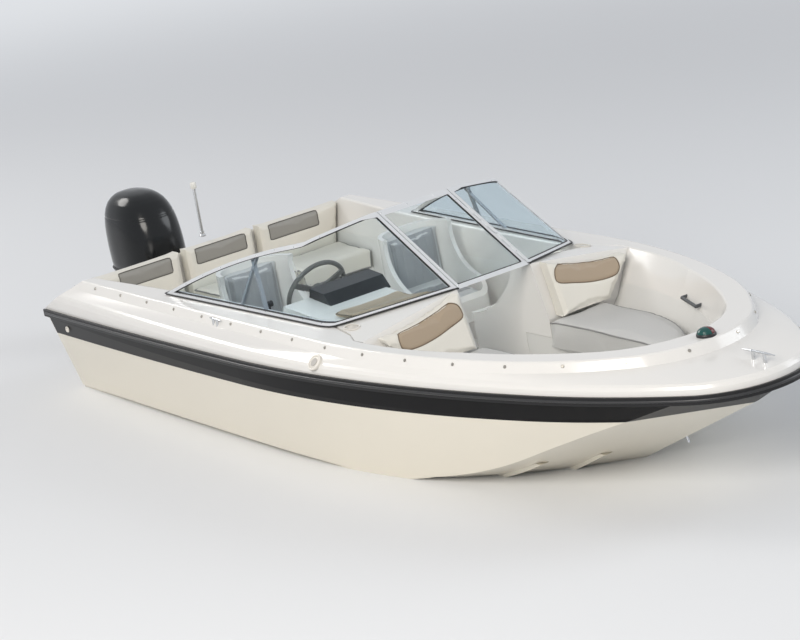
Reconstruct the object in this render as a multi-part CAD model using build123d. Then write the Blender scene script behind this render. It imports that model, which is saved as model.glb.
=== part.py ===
# An open-bow runabout with a single outboard motor: hull, deck, liner, seats, windshield, helm and motor.
# Millimetres. +X to the bow, +Y to port, +Z up.
# The origin is on the centreline, at the resting waterline, below the after edge of the rail.
# Stations forward of the seats are set from the dash bulkhead, and the motor's from the transom.
import os
from math import atan2, cos, degrees, hypot, pi, radians, sin, sqrt, tan

from build123d import *

os.makedirs("parts", exist_ok=True)

# Hull form
HULL_LENGTH = 5300
DASH_FROM_BOW = 2110
DASH_X = HULL_LENGTH - DASH_FROM_BOW
BEAM_STATION = DASH_X - 890
KEEL_DEPTH = 310
RAIL_STERN_Z = 480
RAIL_MID_Z = 546
RAIL_BOW_Z = 560
SHEER_SPARE = 100
BAND_HEIGHT = 120
HULL_FOOT_Z = -350
TRANSOM_RAKE = 13
COAMING_Z = 706
# Levels of the plan form. Columns: height, half breadth at the stern, greatest half breadth and its
# station, radius of the side, station where the entry starts, radius of the entry, station of the tip
FOOT_LEVEL = (HULL_FOOT_Z, 835, 840, BEAM_STATION, 4015, DASH_X + 580, 2002, DASH_X + 1210)
BAND_LEVEL = (RAIL_BOW_Z - BAND_HEIGHT, 985, 1070, BEAM_STATION, 5720, DASH_X + 1090, 2860, HULL_LENGTH - 170)
RAIL_LEVEL = (RAIL_BOW_Z, 995, 1084, BEAM_STATION, 6350, DASH_X + 1210, 3166, HULL_LENGTH)
CREASE_LEVEL = (655, 965, 985, DASH_X - 290, 3505, DASH_X + 1010, 1683, HULL_LENGTH - 390)
COAMING_LEVEL = (COAMING_Z, 935, 955, DASH_X - 290, 3560, DASH_X + 990, 1683, HULL_LENGTH - 430)
# The deck's rounded shoulder above the rail. Columns: height, distance inside the rail's line
SHOULDER = ((602, 5), (616, 13), (626, 25))
COAMING_ROUND = 14
DEADRISE = 19.5
STEM_SLOPE = 26.1
STEM_CORNER_X = DASH_X + 410
FOREFOOT_RADIUS = 2800
# Lifting strakes and the flat at the chine. Columns: inner half breadth, width
STRAKES = ((250, 50), (500, 50), (790, 110))
STRAKE_BITE = 2
STRAKE_TOP_Z = 120
FAR = 1500

# Cockpit
SOLE_Z = 40
FOOTWELL_Z = 100
SEAT_BASE_Z = 400
LINER_WALL = 25
LINER_GAP = 1
FIT_GAP = 2
COCKPIT_AFT_X = 345
COCKPIT_FORE_X = DASH_X - 130
BOW_AFT_X = DASH_X - 190
OPENING_TOP_Z = 720
HEADROOM = 400
# Columns: station, half width at the sole, half width at the coaming
COCKPIT_SIDE = (
    (COCKPIT_AFT_X, 760, 885),
    (760, 750, 838),
    (1160, 740, 800),
    (DASH_X - 1240, 725, 765),
    (DASH_X - 440, 700, 745),
)
COCKPIT_FORE = (660, 820)
# Columns: distance ahead of the dash and half width at the seat base, the same at the coaming
BOW_SIDE = (
    (-50, 620, -50, 872),
    (310, 610, 330, 830),
    (660, 560, 680, 720),
    (930, 470, 1050, 570),
    (1160, 330, 1310, 415),
    (1290, 165, 1485, 215),
    (1330, 0, 1540, 0),
)
BOW_AFT_NARROWING = 70
WALKWAY_HALF = 235
FOOTWELL_FORE_X = DASH_X + 890

# Motor well
WELL_HALF = 360
WELL_FORE_X = 300
WELL_FLOOR_Z = 90
TRANSOM_TOP_Z = 198
TRANSOM_BOARD = 60
QUARTER_STEP_Z = 500
QUARTER_TOP_X = 450

# Rub rail
RAIL_STANDOFF = 16
RAIL_GAP = 3
RAIL_BELOW = 26
RAIL_ABOVE = 16

# Consoles. Side views as (x, z) points
BULKHEAD_TOP = (DASH_X, 793)
BULKHEAD_FOOT = (DASH_X + 90, 500)
CONSOLE_CORNER = (DASH_X - 360, COAMING_Z - 2)
PORT_TOP_AFT = (DASH_X - 165, 752)
PORT_SCOOP = (DASH_X - 330, 555)
PORT_SHELF = (DASH_X - 600, 449)
PORT_FOOT = (DASH_X - 570, 0)
HELM_TOP_AFT = (DASH_X - 590, 716)
HELM_BROW = (DASH_X - 860, 742)
HELM_FACE_FOOT = (DASH_X - 950, 480)
HELM_KNEE = (DASH_X - 770, 430)
HELM_TOE = (DASH_X - 330, 330)
PAD_AFT_X = DASH_X - 510
PAD_FORE_X = DASH_X - 140
PAD_HALF = 215
PAD_THICKNESS = 24
PANEL_HALF = 190
PANEL_HEIGHT = 52
# Drink holders sunk in the console tops outside the windshield
HOLDER_X = DASH_X - 225
HOLDER_Y = 750
HOLDER_LENGTH = 100
HOLDER_WIDTH = 50
HOLDER_DEPTH = 70
HOLDER_LIP = 6

# Windshield
GLASS = 8
FRAME_WIDTH = 18
FRAME_OUT = 14
FRAME_IN = 22
WING_FOOT = (DASH_X - 1928, COAMING_Z)
WING_MIDDLE = (DASH_X - 1310, 936)
WING_CORNER = (DASH_X - 753, 1068)
PILLAR_TOP = (DASH_X - 643, 1133)
PILLAR_FOOT = (DASH_X - 9, 793)
CORNER_FOOT = (DASH_X - 360, COAMING_Z)
PILLAR_Y = 240
PILLAR_HALF = 10
GATE_GAP = 5
WING_RUN_OUT = 400
# Plan lines of the glass surface. Columns: height, aft half width, corner station and half width,
# corner radius, centre station
GLASS_FOOT = (706, 849, DASH_X - 352, 789, 260, DASH_X + 153)
GLASS_HEAD = (1140, 674, DASH_X - 833, 631, 220, DASH_X - 656)
BRACE_WIDTH = 16
# Columns: foot station, head station and height
BRACES = ((DASH_X - 1200, DASH_X - 1115, 1010), (DASH_X - 950, DASH_X - 1200, 1000))
# The space round the windshield's front
FRONT_LOW = (DASH_X - 890, 700)
FRONT_HIGH = (DASH_X + 410, 1200)
HINGE_R = 4.5
HINGE_LIFT = 5
HINGE_LEAF = 17
HINGE_LEAF_THICKNESS = 3
HINGE_RUN = 500
HINGE_KNUCKLE = 60

# Seats
CUSHION_HEIGHT = 98
BOW_CUSHION_AFT_X = DASH_X + 94
BOW_CUSHION_INNER_Y = 204
BOLSTER_DROP = 60
BOLSTER_FORE_X = DASH_X + 640
BOW_BACK_THICKNESS = 75
BOW_BACK_INNER_Y = 262
BENCH_TOP_Z = 330
BENCH_FORE_X = 820
BENCH_BACK_TOP_Z = 700
BENCH_BACK_THICKNESS = 85
BENCH_CUSHION = 115
BENCH_CUSHION_FORE_X = 845
BENCH_SPLIT_Y = 262
BENCH_GAP = 10
SOFT_EDGE = 18
BUCKET_X = {"port": DASH_X - 1230, "starboard": DASH_X - 1570}
BUCKET_Y = 430
BUCKET_HALF = 235
BUCKET_BACK_TOP_Z = 780
BUCKET_ARM_Z = 500
BUCKET_PAN_Z = 262
BUCKET_WALL = 26
BUCKET_BACK_R = 180
BUCKET_FRONT_R = 70
BUCKET_PAD = 125
PEDESTAL_R = 38
PEDESTAL_FOOT_R = 130
PEDESTAL_FOOT = 12
PEDESTAL_GAP = 6

# Helm
WHEEL_CENTRE = (DASH_X - 1090, -400, 700)
WHEEL_TILT = 27
WHEEL_R = 175
WHEEL_RIM_R = 13
COLUMN_R = 32
COLUMN_GAP = 6
COLUMN_LENGTH = 230
THROTTLE = (DASH_X - 1070, -740, 560)
THROTTLE_HALF = (75, 25, 55)
LEVER_LENGTH = 150

# Motor
TILT_AXIS = (-100, 340)
STEER_X = -175
COWL_X = -500
PROP_X = -690
PROP_Z = -520
PROP_HUB_R = 42
PROP_HUB = 120
PROP_PITCH = 480
# Columns: radius, chord and thickness of a blade's section
BLADE = ((36, 92, 15), (85, 140, 11), (130, 150, 8), (156, 104, 6), (168, 48, 4))
PLATE_Z = -334
PLATE = (430, 240, 100, 10)
TORPEDO_R = 56
TORPEDO_NOSE_X = -215
TORPEDO_TAIL_X = -620
SKEG_Z = -722
SKEG_HALF = 9
BRACKET_Y = 115
BRACKET_WALL = 22
BRACKET_FOOT_Z = -60
TILT_TUBE_R = 16
SWIVEL_GAP = 6
NECK_R = 34
POST_R = 42
POST_LOW = -60
POST_HIGH = 285
KING_PIN_R = 20
YOKE_GAP = 6
YOKE_HALF = 60
PIN_GAP = 0.3
# Cowl sections. Columns: height, centre station, length, width, corner radius
COWL_LOWER = (
    (300, -412, 320, 220, 95),
    (350, -452, 450, 310, 135),
    (430, -492, 556, 380, 170),
)
COWL_UPPER = (
    (433, -492, 560, 384, 172),
    (560, -500, 566, 392, 178),
    (700, -512, 530, 380, 172),
    (800, -524, 456, 336, 154),
    (862, -532, 344, 252, 120),
    (897, -538, 200, 144, 68),
)
COWL_WALL = 14
ENGINE = (360, 220, 320)
# Columns: height, centre station, length, width, corner radius
MIDSECTION = (
    (296, -400, 300, 190, 80),
    (120, -385, 290, 150, 70),
    (-100, -385, 270, 120, 55),
    (PLATE_Z, -395, 280, 90, 40),
)
LOWER_STRUT = (
    (PLATE_Z - 10, -400, 270, 70, 30),
    (PROP_Z + 20, -400, 260, 60, 28),
)

# Fittings
LIGHT_X = HULL_LENGTH - 480
LIGHT_R = 48
LIGHT_FOOT = 14
DOME_DROP = 6
POLE_Y = -45
POLE_R = 10
POLE_TOP_Z = 1040
POLE_BASE = (20, 24)
GLOBE_R = 20
# Cleats. Columns: station, half breadth, height of the surface, turn about the vertical, length
CLEATS = (
    (HULL_LENGTH - 130, 0, 634, 0, 220),
    (DASH_X - 1210, 972, 650, 2, 120),
    (DASH_X - 1210, -972, 650, -2, 120),
    (120, 800, 542, 0, 150),
    (120, -800, 542, 0, 150),
)
CLEAT_HEIGHT = 42
CLEAT_BAR_R = 7
TOW_EYE_R = 6
TOW_EYE_REACH = 45
BOW_EYE_Z = 170
STERN_EYE = (620, 250)
CAP_PLACE = (DASH_X - 180, -1024, 620)
CAP_TILT = 47
CAP_R = 45
CAP_HEIGHT = 9
DRAIN_X = 250
DRAIN_DROP = 85
DRAIN_R = 17
HANDLE_X = DASH_X + 820
HANDLE_Z = 590
HANDLE_LENGTH = 190
HANDLE_R = 9


def save(node, *solids):
    """Write one node; several solids of a node stay separate."""
    shape = solids[0] if len(solids) == 1 else Compound(children=list(solids))
    export_step(shape, f"parts/{node}.step")


def mirrored(shape):
    """The same piece on the starboard side."""
    return shape.mirror(Plane.XZ)


def arc_between(centre, radius, first, last):
    """The shorter arc about a centre from one point to another."""
    dx = (first[0] + last[0]) / 2 - centre[0]
    dy = (first[1] + last[1]) / 2 - centre[1]
    reach = hypot(dx, dy)
    middle = (centre[0] + radius * dx / reach, centre[1] + radius * dy / reach)
    return ThreePointArc(first, middle, last)


def plan_form(level, grow=0, height=None):
    """A boat-shaped face: stern line, side arc, entry arc and a round tip, all tangent."""
    z, stern_half, beam_half, beam_x, side_r, entry_x, entry_r, tip_x = level
    stern_half, beam_half, tip_x = stern_half + grow, beam_half + grow, tip_x + grow
    side_r, entry_r = side_r + grow, entry_r + grow
    swell = beam_half - stern_half
    quarter_r = (beam_x**2 + swell**2) / (2 * swell)
    side_y = beam_half - side_r
    entry_y = side_y + sqrt(side_r**2 - (entry_x - beam_x) ** 2)
    across, along = (entry_x - beam_x) / side_r, (entry_y - side_y) / side_r
    centre = (entry_x - entry_r * across, entry_y - entry_r * along)
    reach = tip_x - centre[0]
    tip_r = (entry_r**2 - reach**2 - centre[1] ** 2) / (2 * (entry_r - reach))
    tip_centre = (tip_x - tip_r, 0)
    span = hypot(tip_centre[0] - centre[0], centre[1])
    meet = (
        tip_centre[0] + tip_r * (tip_centre[0] - centre[0]) / span,
        -tip_r * centre[1] / span,
    )
    stern, beam, entry, tip = (0, stern_half), (beam_x, beam_half), (entry_x, entry_y), (tip_x, 0)
    port = [
        arc_between((beam_x, beam_half - quarter_r), abs(quarter_r), stern, beam),
        arc_between((beam_x, side_y), side_r, beam, entry),
        arc_between(centre, entry_r, entry, meet),
        arc_between(tip_centre, tip_r, meet, tip),
    ]
    outline = make_face([*port, *[mirrored(edge) for edge in port], Line(stern, (0, -stern_half))])
    return Pos(0, 0, z if height is None else height) * outline


def side_slab(face, low_y, high_y):
    """A block from a ready face in the side view, from one Y to another."""
    return extrude(Plane.XZ.offset(-low_y) * face, -(high_y - low_y))


def side_block(points, low_y, high_y):
    """The same from a polygon of (x, z) points."""
    return side_slab(make_face(Polyline(*points, close=True)), low_y, high_y)


def block(low, high):
    """A block between two corners."""
    size = [high[i] - low[i] for i in range(3)]
    centre = [(high[i] + low[i]) / 2 for i in range(3)]
    return Pos(*centre) * Box(*size)


def rod(start, end, radius):
    """A round bar between two points."""
    span = Vector(*end) - Vector(*start)
    return Plane(origin=start, z_dir=span) * extrude(Circle(radius), span.length)


def largest(shape):
    """The biggest solid of a cut piece."""
    return max(shape.solids(), key=lambda solid: solid.volume)


def sheer_z(x):
    """Height of the sheer line: a shallow curve through its stern, middle and bow heights."""
    t = x / HULL_LENGTH
    bulge = RAIL_MID_Z - (RAIL_STERN_Z + RAIL_BOW_Z) / 2
    return RAIL_STERN_Z + (RAIL_BOW_Z - RAIL_STERN_Z) * t + 4 * bulge * t * (1 - t)


def sheer_region(below, above):
    """The band along the sheer line, from some way below it to some way above it."""
    points = [(x, sheer_z(x)) for x in (-SHEER_SPARE, HULL_LENGTH / 2, HULL_LENGTH + SHEER_SPARE)]
    low = ThreePointArc(*[(x, z + below) for x, z in points])
    high = ThreePointArc(*[(x, z + above) for x, z in points])
    ends = [Line(low @ 0, high @ 0), Line(low @ 1, high @ 1)]
    return side_slab(make_face([low, high, *ends]), -FAR, FAR)


def transom_x(z):
    """Station of the raked transom at a height."""
    return (RAIL_STERN_Z - z) * tan(radians(TRANSOM_RAKE))


def keel_profile():
    """Side view above the keel: a level keel, a round forefoot and a straight raked stem."""
    run = FOREFOOT_RADIUS * tan(radians(STEM_SLOPE / 2))
    lean, rise = cos(radians(STEM_SLOPE)), sin(radians(STEM_SLOPE))
    heel, foot = (-FAR, -KEEL_DEPTH), (STEM_CORNER_X - run, -KEEL_DEPTH)
    stem = (STEM_CORNER_X + run * lean, -KEEL_DEPTH + run * rise)
    head = (stem[0] + FAR * lean, stem[1] + FAR * rise)
    return make_face(
        [
            Line(heel, foot),
            arc_between((foot[0], FOREFOOT_RADIUS - KEEL_DEPTH), FOREFOOT_RADIUS, foot, stem),
            Line(stem, head),
            Polyline(head, (head[0], FAR), (heel[0], FAR), heel),
        ]
    )


def stem_x(z):
    """Station of the straight stem at a height."""
    return STEM_CORNER_X + (z + KEEL_DEPTH) / tan(radians(STEM_SLOPE))


def keel_form():
    """The space above a V bottom of one deadrise, with its strakes and chine flats."""
    slope = tan(radians(DEADRISE))
    slant = (0, cos(radians(DEADRISE)), sin(radians(DEADRISE)))
    port = extrude(Plane.XZ * keel_profile(), amount=FAR, dir=slant)
    below = block((-FAR, 0, -FAR), (HULL_LENGTH, FAR, STRAKE_TOP_Z))
    for inner_y, width in STRAKES:
        lifted = Pos(0, inner_y * slope - STRAKE_BITE) * keel_profile()
        port += side_slab(lifted, inner_y, inner_y + width) & below
    return port + mirrored(port)


# Interior space

def cockpit_space(grow=0):
    """The after cockpit between the liner's walls, wider at the coaming than at the sole."""
    faces = []
    for z, column, fore_half in ((SOLE_Z - grow, 1, COCKPIT_FORE[0]), (OPENING_TOP_Z, 2, COCKPIT_FORE[1])):
        rows = [(row[0], row[column] + grow) for row in COCKPIT_SIDE]
        rows[0] = (rows[0][0] - grow, rows[0][1])
        fore = (COCKPIT_FORE_X + grow, fore_half + grow)
        port = [ThreePointArc(*rows[0:3]), ThreePointArc(*rows[2:5]), Line(rows[4], fore)]
        aft = Line(rows[0], (rows[0][0], -rows[0][1]))
        bow = Line(fore, (fore[0], -fore[1]))
        faces.append(Pos(0, 0, z) * make_face([*port, *[mirrored(edge) for edge in port], aft, bow]))
    return loft(faces, ruled=True) + extrude(faces[-1], HEADROOM)


def bow_space(grow=0):
    """The forward cockpit above its seat base, flared outwards to the coaming."""
    faces = []
    for z, column, narrowing in ((SEAT_BASE_Z - grow, 0, 0), (OPENING_TOP_Z, 2, BOW_AFT_NARROWING)):
        rows = []
        for row in BOW_SIDE:
            ahead, half = row[column], row[column + 1]
            rows.append((DASH_X + ahead + grow * (half == 0), half + grow * (half > 0)))
        aft = (BOW_AFT_X - grow, rows[0][1] - narrowing)
        port = [Line(aft, rows[0])]
        port += [ThreePointArc(*rows[i : i + 3]) for i in (0, 2, 4)]
        back = Line(aft, (aft[0], -aft[1]))
        faces.append(Pos(0, 0, z) * make_face([*port, *[mirrored(edge) for edge in port], back]))
    return loft(faces, ruled=True) + extrude(faces[-1], HEADROOM)


def footwell_space(grow=0):
    """The foot room between the bow seats, with a round forward end, open to the walkway."""
    half = WALKWAY_HALF + grow
    fore = FOOTWELL_FORE_X + grow
    aft = (BOW_AFT_X - grow, half)
    turn = (fore - half, half)
    port = [Line(aft, turn), arc_between((fore - half, 0), half, turn, (fore, 0))]
    back = Line(aft, (aft[0], -half))
    face = make_face([*port, *[mirrored(edge) for edge in port], back])
    return Pos(0, 0, FOOTWELL_Z - grow) * extrude(face, OPENING_TOP_Z - FOOTWELL_Z + HEADROOM + grow)


def interior(grow=0):
    """All the open room inside the boat."""
    return cockpit_space(grow) + bow_space(grow) + footwell_space(grow)


def motor_well(grow=0):
    """The cut-out of the transom and the splash well in front of it."""
    half = WELL_HALF + grow
    over = block((-200, -half, TRANSOM_TOP_Z - grow), (WELL_FORE_X, half, FAR))
    board_x = transom_x(TRANSOM_TOP_Z) + TRANSOM_BOARD
    well = block((board_x, -half, WELL_FLOOR_Z - grow), (WELL_FORE_X, half, FAR))
    return over + well


# Hull
top_z = RAIL_BOW_Z + RAIL_ABOVE
above = (top_z - RAIL_BOW_Z) / BAND_HEIGHT
top_level = [rail + (rail - band) * above for rail, band in zip(RAIL_LEVEL, BAND_LEVEL)]
topsides = loft([plan_form(level) for level in (FOOT_LEVEL, BAND_LEVEL, top_level)], ruled=True)
aft_of_transom = side_block(
    ((-FAR, FAR), (transom_x(FAR), FAR), (transom_x(-FAR), -FAR), (-FAR, -FAR)), -FAR, FAR
)
hull_form = (topsides & keel_form()) - sheer_region(0, FAR) - aft_of_transom
hull = hull_form - interior(LINER_WALL + LINER_GAP) - motor_well()
save("hull", hull)

# Deck and liner
deck_foot_z = RAIL_STERN_Z - 60
deck_side = extrude(plan_form(RAIL_LEVEL, height=deck_foot_z), top_z - deck_foot_z)
deck_rail = plan_form(RAIL_LEVEL, height=top_z)
shoulder = [plan_form(RAIL_LEVEL, -inside, height=z) for z, inside in SHOULDER]
deck_top = loft([deck_rail, *shoulder, plan_form(CREASE_LEVEL), plan_form(COAMING_LEVEL)], ruled=True)
quarter_cut = side_block(
    (
        (-SHEER_SPARE, QUARTER_STEP_Z),
        (0, QUARTER_STEP_Z),
        (QUARTER_TOP_X, COAMING_Z),
        (QUARTER_TOP_X, FAR),
        (-SHEER_SPARE, FAR),
    ),
    -FAR,
    FAR,
)
deck_form = (deck_side + deck_top) - sheer_region(-FAR, 0) - quarter_cut
deck = deck_form - interior() - motor_well()
coaming_edges = deck.edges().filter_by_position(Axis.Z, COAMING_Z - 0.1, COAMING_Z + 0.1)
deck = fillet(coaming_edges, COAMING_ROUND)
save("deck", deck)

liner = (interior(LINER_WALL) - interior()) - sheer_region(0, FAR) - motor_well()
liner_split_x = COCKPIT_FORE_X + LINER_WALL
save("cockpit_liner", liner & block((0, -FAR, -FAR), (liner_split_x, FAR, FAR)))
save("bow_liner", liner & block((liner_split_x, -FAR, -FAR), (HULL_LENGTH, FAR, FAR)))

rail_plans = [plan_form(RAIL_LEVEL, grow, height=0) for grow in (RAIL_STANDOFF, RAIL_GAP)]
rail_ring = extrude(rail_plans[0] - rail_plans[1], RAIL_BOW_Z + 3 * RAIL_ABOVE)
rub_rail = rail_ring & sheer_region(-RAIL_BELOW, RAIL_ABOVE)
save("rub_rail", rub_rail)

# Consoles, with the drink holders' pockets. Outside the windshield's foot their tops slope down to the coaming
room = interior(-FIT_GAP)
corner = Vector(CORNER_FOOT[0], GLASS_FOOT[3], COAMING_Z)
pillar = Vector(PILLAR_FOOT[0], PILLAR_Y, PILLAR_FOOT[1])
shoulder_end = Vector(DASH_X, COCKPIT_FORE[1], COAMING_Z + 4)
slope_up = (pillar - corner).cross(shoulder_end - corner).normalized()
over_slope = Plane(origin=corner, z_dir=slope_up) * Pos(0, 0, FAR / 2) * Box(2 * FAR, 2 * FAR, FAR)
over_slope &= block((CORNER_FOOT[0], 0, 0), (HULL_LENGTH, FAR, FAR))
walkway = block((DASH_X - 1190, -WALKWAY_HALF, 0), (DASH_X + 410, WALKWAY_HALF, FAR))
holder_slot = Pos(HOLDER_X, HOLDER_Y) * SlotOverall(HOLDER_LENGTH, HOLDER_WIDTH)
pocket_z = COAMING_Z + 30 - HOLDER_DEPTH
pocket = Pos(0, 0, pocket_z) * extrude(holder_slot, HOLDER_DEPTH + 100)
port_side = make_face(
    [
        ThreePointArc(PORT_SHELF, PORT_SCOOP, PORT_TOP_AFT),
        Polyline(PORT_TOP_AFT, BULKHEAD_TOP, BULKHEAD_FOOT, (BULKHEAD_FOOT[0], 0), PORT_FOOT, PORT_SHELF),
    ]
)
console_port = (side_slab(port_side, 0, FAR) & room) - walkway
save("console_port", console_port - pocket - over_slope)
helm_side = (
    (HELM_TOE[0], 0),
    HELM_TOE,
    HELM_KNEE,
    HELM_FACE_FOOT,
    HELM_BROW,
    HELM_TOP_AFT,
    CONSOLE_CORNER,
    BULKHEAD_TOP,
    BULKHEAD_FOOT,
    (BULKHEAD_FOOT[0], 0),
)
console_starboard = (side_block(helm_side, -FAR, 0) & room) - walkway - mirrored(pocket) - mirrored(over_slope)
save("console_starboard", console_starboard)

away = (corner - Vector(HOLDER_X, HOLDER_Y, COAMING_Z)).dot(slope_up) / slope_up.Z
holder_place = Vector(HOLDER_X, HOLDER_Y, COAMING_Z + away)
holder_plane = Plane(origin=holder_place, x_dir=(slope_up.Z, 0, -slope_up.X), z_dir=slope_up)
ring_plan = SlotOverall(HOLDER_LENGTH + 2 * HOLDER_LIP, HOLDER_WIDTH + 2 * HOLDER_LIP)
ring_plan -= SlotOverall(HOLDER_LENGTH - 4, HOLDER_WIDTH - 4)
holder_ring = holder_plane * Pos(0, 0, 1) * extrude(ring_plan, 5)
save("drink_holders", holder_ring, mirrored(holder_ring))


# Windshield

def glass_plan(level, shift):
    """Plan of the windshield's surface at one height, moved in or out."""
    z, aft_half, corner_x, corner_half, corner_r, centre_x = level
    start_x = WING_FOOT[0] - WING_RUN_OUT
    slope = (aft_half - corner_half) / (corner_x - WING_FOOT[0])
    start_half = aft_half + WING_RUN_OUT * slope
    points = [(start_x, start_half), (corner_x, corner_half), (centre_x, PILLAR_Y)]
    face = make_face(Polyline(*points, *[(x, -y) for x, y in reversed(points)], close=True))
    corners = [v for v in face.vertices() if abs(v.X - corner_x) < 1]
    face = fillet(corners, corner_r)
    return Pos(0, 0, z) * offset(face, amount=shift, kind=Kind.INTERSECTION)


def glass_solid(shift):
    """The space inside the windshield's surface, moved in or out."""
    return loft([glass_plan(level, shift) for level in (GLASS_FOOT, GLASS_HEAD)], ruled=True)


def windshield_side(inset):
    """Side view of the windshield inside its outline."""
    fore_x = FRONT_HIGH[0]
    rail = Polyline(
        WING_CORNER,
        PILLAR_TOP,
        (fore_x, PILLAR_TOP[1]),
        (fore_x, PILLAR_FOOT[1]),
        PILLAR_FOOT,
        CORNER_FOOT,
        WING_FOOT,
    )
    face = make_face([ThreePointArc(WING_FOOT, WING_MIDDLE, WING_CORNER), rail])
    if inset:
        face = offset(face, amount=-inset, kind=Kind.INTERSECTION)
    return side_slab(face, -FAR, FAR)


def front_block(low_y, high_y):
    """A slice of the space round the windshield's front."""
    return block((FRONT_LOW[0], low_y, FRONT_LOW[1]), (FRONT_HIGH[0], high_y, FRONT_HIGH[1]))


whole = windshield_side(0)
sight = windshield_side(FRAME_WIDTH)
passage_half = PILLAR_Y - PILLAR_HALF
gate_half = passage_half - GATE_GAP
outer_half = PILLAR_Y + PILLAR_HALF
wide_wall = (glass_solid(FRAME_OUT) - glass_solid(-FRAME_IN)) & whole
glass_wall = glass_solid(GLASS / 2) - glass_solid(-GLASS / 2)
post = wide_wall & front_block(passage_half, outer_half)
frame = ((wide_wall - sight) + post + mirrored(post)) - front_block(-passage_half, passage_half)

# The gate's hinge lies on the frame's outer face: x along the pillar, z outwards
lean = Vector(GLASS_HEAD[5] - GLASS_FOOT[5], 0, GLASS_HEAD[0] - GLASS_FOOT[0]).normalized()
outwards = Vector(lean.Z, 0, -lean.X)
hinge_y = passage_half - GATE_GAP / 2
glass_middle = Vector((GLASS_HEAD[5] + GLASS_FOOT[5]) / 2, hinge_y, (GLASS_HEAD[0] + GLASS_FOOT[0]) / 2)
face_point = glass_middle + outwards * (FRAME_OUT * outwards.X)
hinge_plane = Plane(origin=face_point, x_dir=lean, z_dir=outwards)


def knuckle(start, end, side):
    """One knuckle of the piano hinge and its leaf; side is 1 for the pillar and -1 for the gate."""
    barrel = hinge_plane * Pos((start + end) / 2, 0, HINGE_LIFT) * Rot(0, 90, 0) * Cylinder(HINGE_R, end - start)
    leaf = Pos((start + end) / 2, -side * HINGE_LEAF / 2, HINGE_LEAF_THICKNESS / 2) * Box(
        end - start, HINGE_LEAF, HINGE_LEAF_THICKNESS
    )
    return barrel + hinge_plane * leaf


pillar_knuckles = []
gate_knuckles = []
step = HINGE_RUN / 4
for i in range(4):
    middle = -HINGE_RUN / 2 + (i + 0.5) * step
    pillar_knuckles.append(knuckle(middle - HINGE_KNUCKLE, middle - 1, 1))
    gate_knuckles.append(knuckle(middle + 1, middle + HINGE_KNUCKLE, -1))
frame_port = frame & block((WING_FOOT[0] - WING_RUN_OUT, 0, 0), (HULL_LENGTH, FAR, FAR))
save("windshield_frame_starboard", mirrored(frame_port))
for piece in pillar_knuckles:
    frame_port += piece
save("windshield_frame_port", frame_port)
glass_port = glass_wall & sight & block((0, outer_half, 0), (HULL_LENGTH, FAR, FAR))
save("windshield_glass_port", glass_port)
save("windshield_glass_starboard", mirrored(glass_port))
gate_sight = front_block(-gate_half + FRAME_WIDTH, gate_half - FRAME_WIDTH) & sight
gate_frame = (wide_wall & front_block(-gate_half, gate_half)) - gate_sight
for piece in gate_knuckles:
    gate_frame += piece
save("gate_frame", gate_frame)
save("gate_glass", glass_wall & gate_sight)

brace_wall = (glass_solid(-GLASS / 2) - glass_solid(-FRAME_IN)) & sight
strips = []
for foot_x, head_x, head_z in BRACES:
    half = BRACE_WIDTH / 2
    foot = ((foot_x - half, COAMING_Z), (foot_x + half, COAMING_Z))
    strips.append(side_block((*foot, (head_x + half, head_z), (head_x - half, head_z)), 0, FAR))
brace_port = brace_wall & (strips[0] + strips[1])
save("windshield_braces", brace_port, mirrored(brace_port))

# Dash pad and instrument panel
cabin = glass_solid(-FRAME_IN - 6)
pad_slope = (BULKHEAD_TOP[1] - CORNER_FOOT[1]) / (BULKHEAD_TOP[0] - CORNER_FOOT[0])
pad_points = (
    (PAD_AFT_X, HELM_TOP_AFT[1]),
    (PAD_AFT_X + 10, HELM_TOP_AFT[1] + PAD_THICKNESS),
    (CORNER_FOOT[0], COAMING_Z + PAD_THICKNESS + 6),
    (PAD_FORE_X, COAMING_Z + PAD_THICKNESS + pad_slope * (PAD_FORE_X - CORNER_FOOT[0])),
    (PAD_FORE_X, COAMING_Z - 10),
    (PAD_AFT_X, COAMING_Z - 10),
)
pad_y = WHEEL_CENTRE[1] - 75
pad = side_block(pad_points, pad_y - PAD_HALF, pad_y + PAD_HALF) & cabin
save("dash_pad", pad - console_starboard)
panel_points = (
    (HELM_BROW[0] - 30, HELM_BROW[1] - 90),
    (HELM_BROW[0] + 20, HELM_BROW[1] + PANEL_HEIGHT),
    (HELM_BROW[0] + 150, HELM_BROW[1] + PANEL_HEIGHT - 14),
    (HELM_TOP_AFT[0] - 60, HELM_TOP_AFT[1]),
    (HELM_BROW[0] + 60, HELM_BROW[1] - 90),
)
panel_y = WHEEL_CENTRE[1]
panel = side_block(panel_points, panel_y - PANEL_HALF, panel_y + PANEL_HALF)
instrument_panel = largest(panel - console_starboard)
save("instrument_panel", instrument_panel)

# Steering wheel, column and throttle
HUB_R = 40
HUB_THICKNESS = 36
HUB_DROP = 12
SPOKE = (30, 12)
wheel_plane = Plane(
    origin=WHEEL_CENTRE,
    x_dir=(0, 1, 0),
    z_dir=(-cos(radians(WHEEL_TILT)), 0, sin(radians(WHEEL_TILT))),
)
wheel = Torus(WHEEL_R, WHEEL_RIM_R) + Pos(0, 0, -HUB_DROP) * Cylinder(HUB_R, HUB_THICKNESS)
for angle in (90, 210, 330):
    wheel += Rot(0, 0, angle) * Pos(WHEEL_R / 2, 0, -HUB_DROP) * Box(WHEEL_R, *SPOKE)
save("steering_wheel", wheel_plane * wheel)
column_top = -HUB_DROP - HUB_THICKNESS / 2 - COLUMN_GAP
column = wheel_plane * Pos(0, 0, column_top) * extrude(Circle(COLUMN_R), -COLUMN_LENGTH)
column_parts = (column - console_starboard - instrument_panel).solids()
save("steering_column", max(column_parts, key=lambda solid: solid.center().Z))
half_x, half_y, half_z = THROTTLE_HALF
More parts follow.
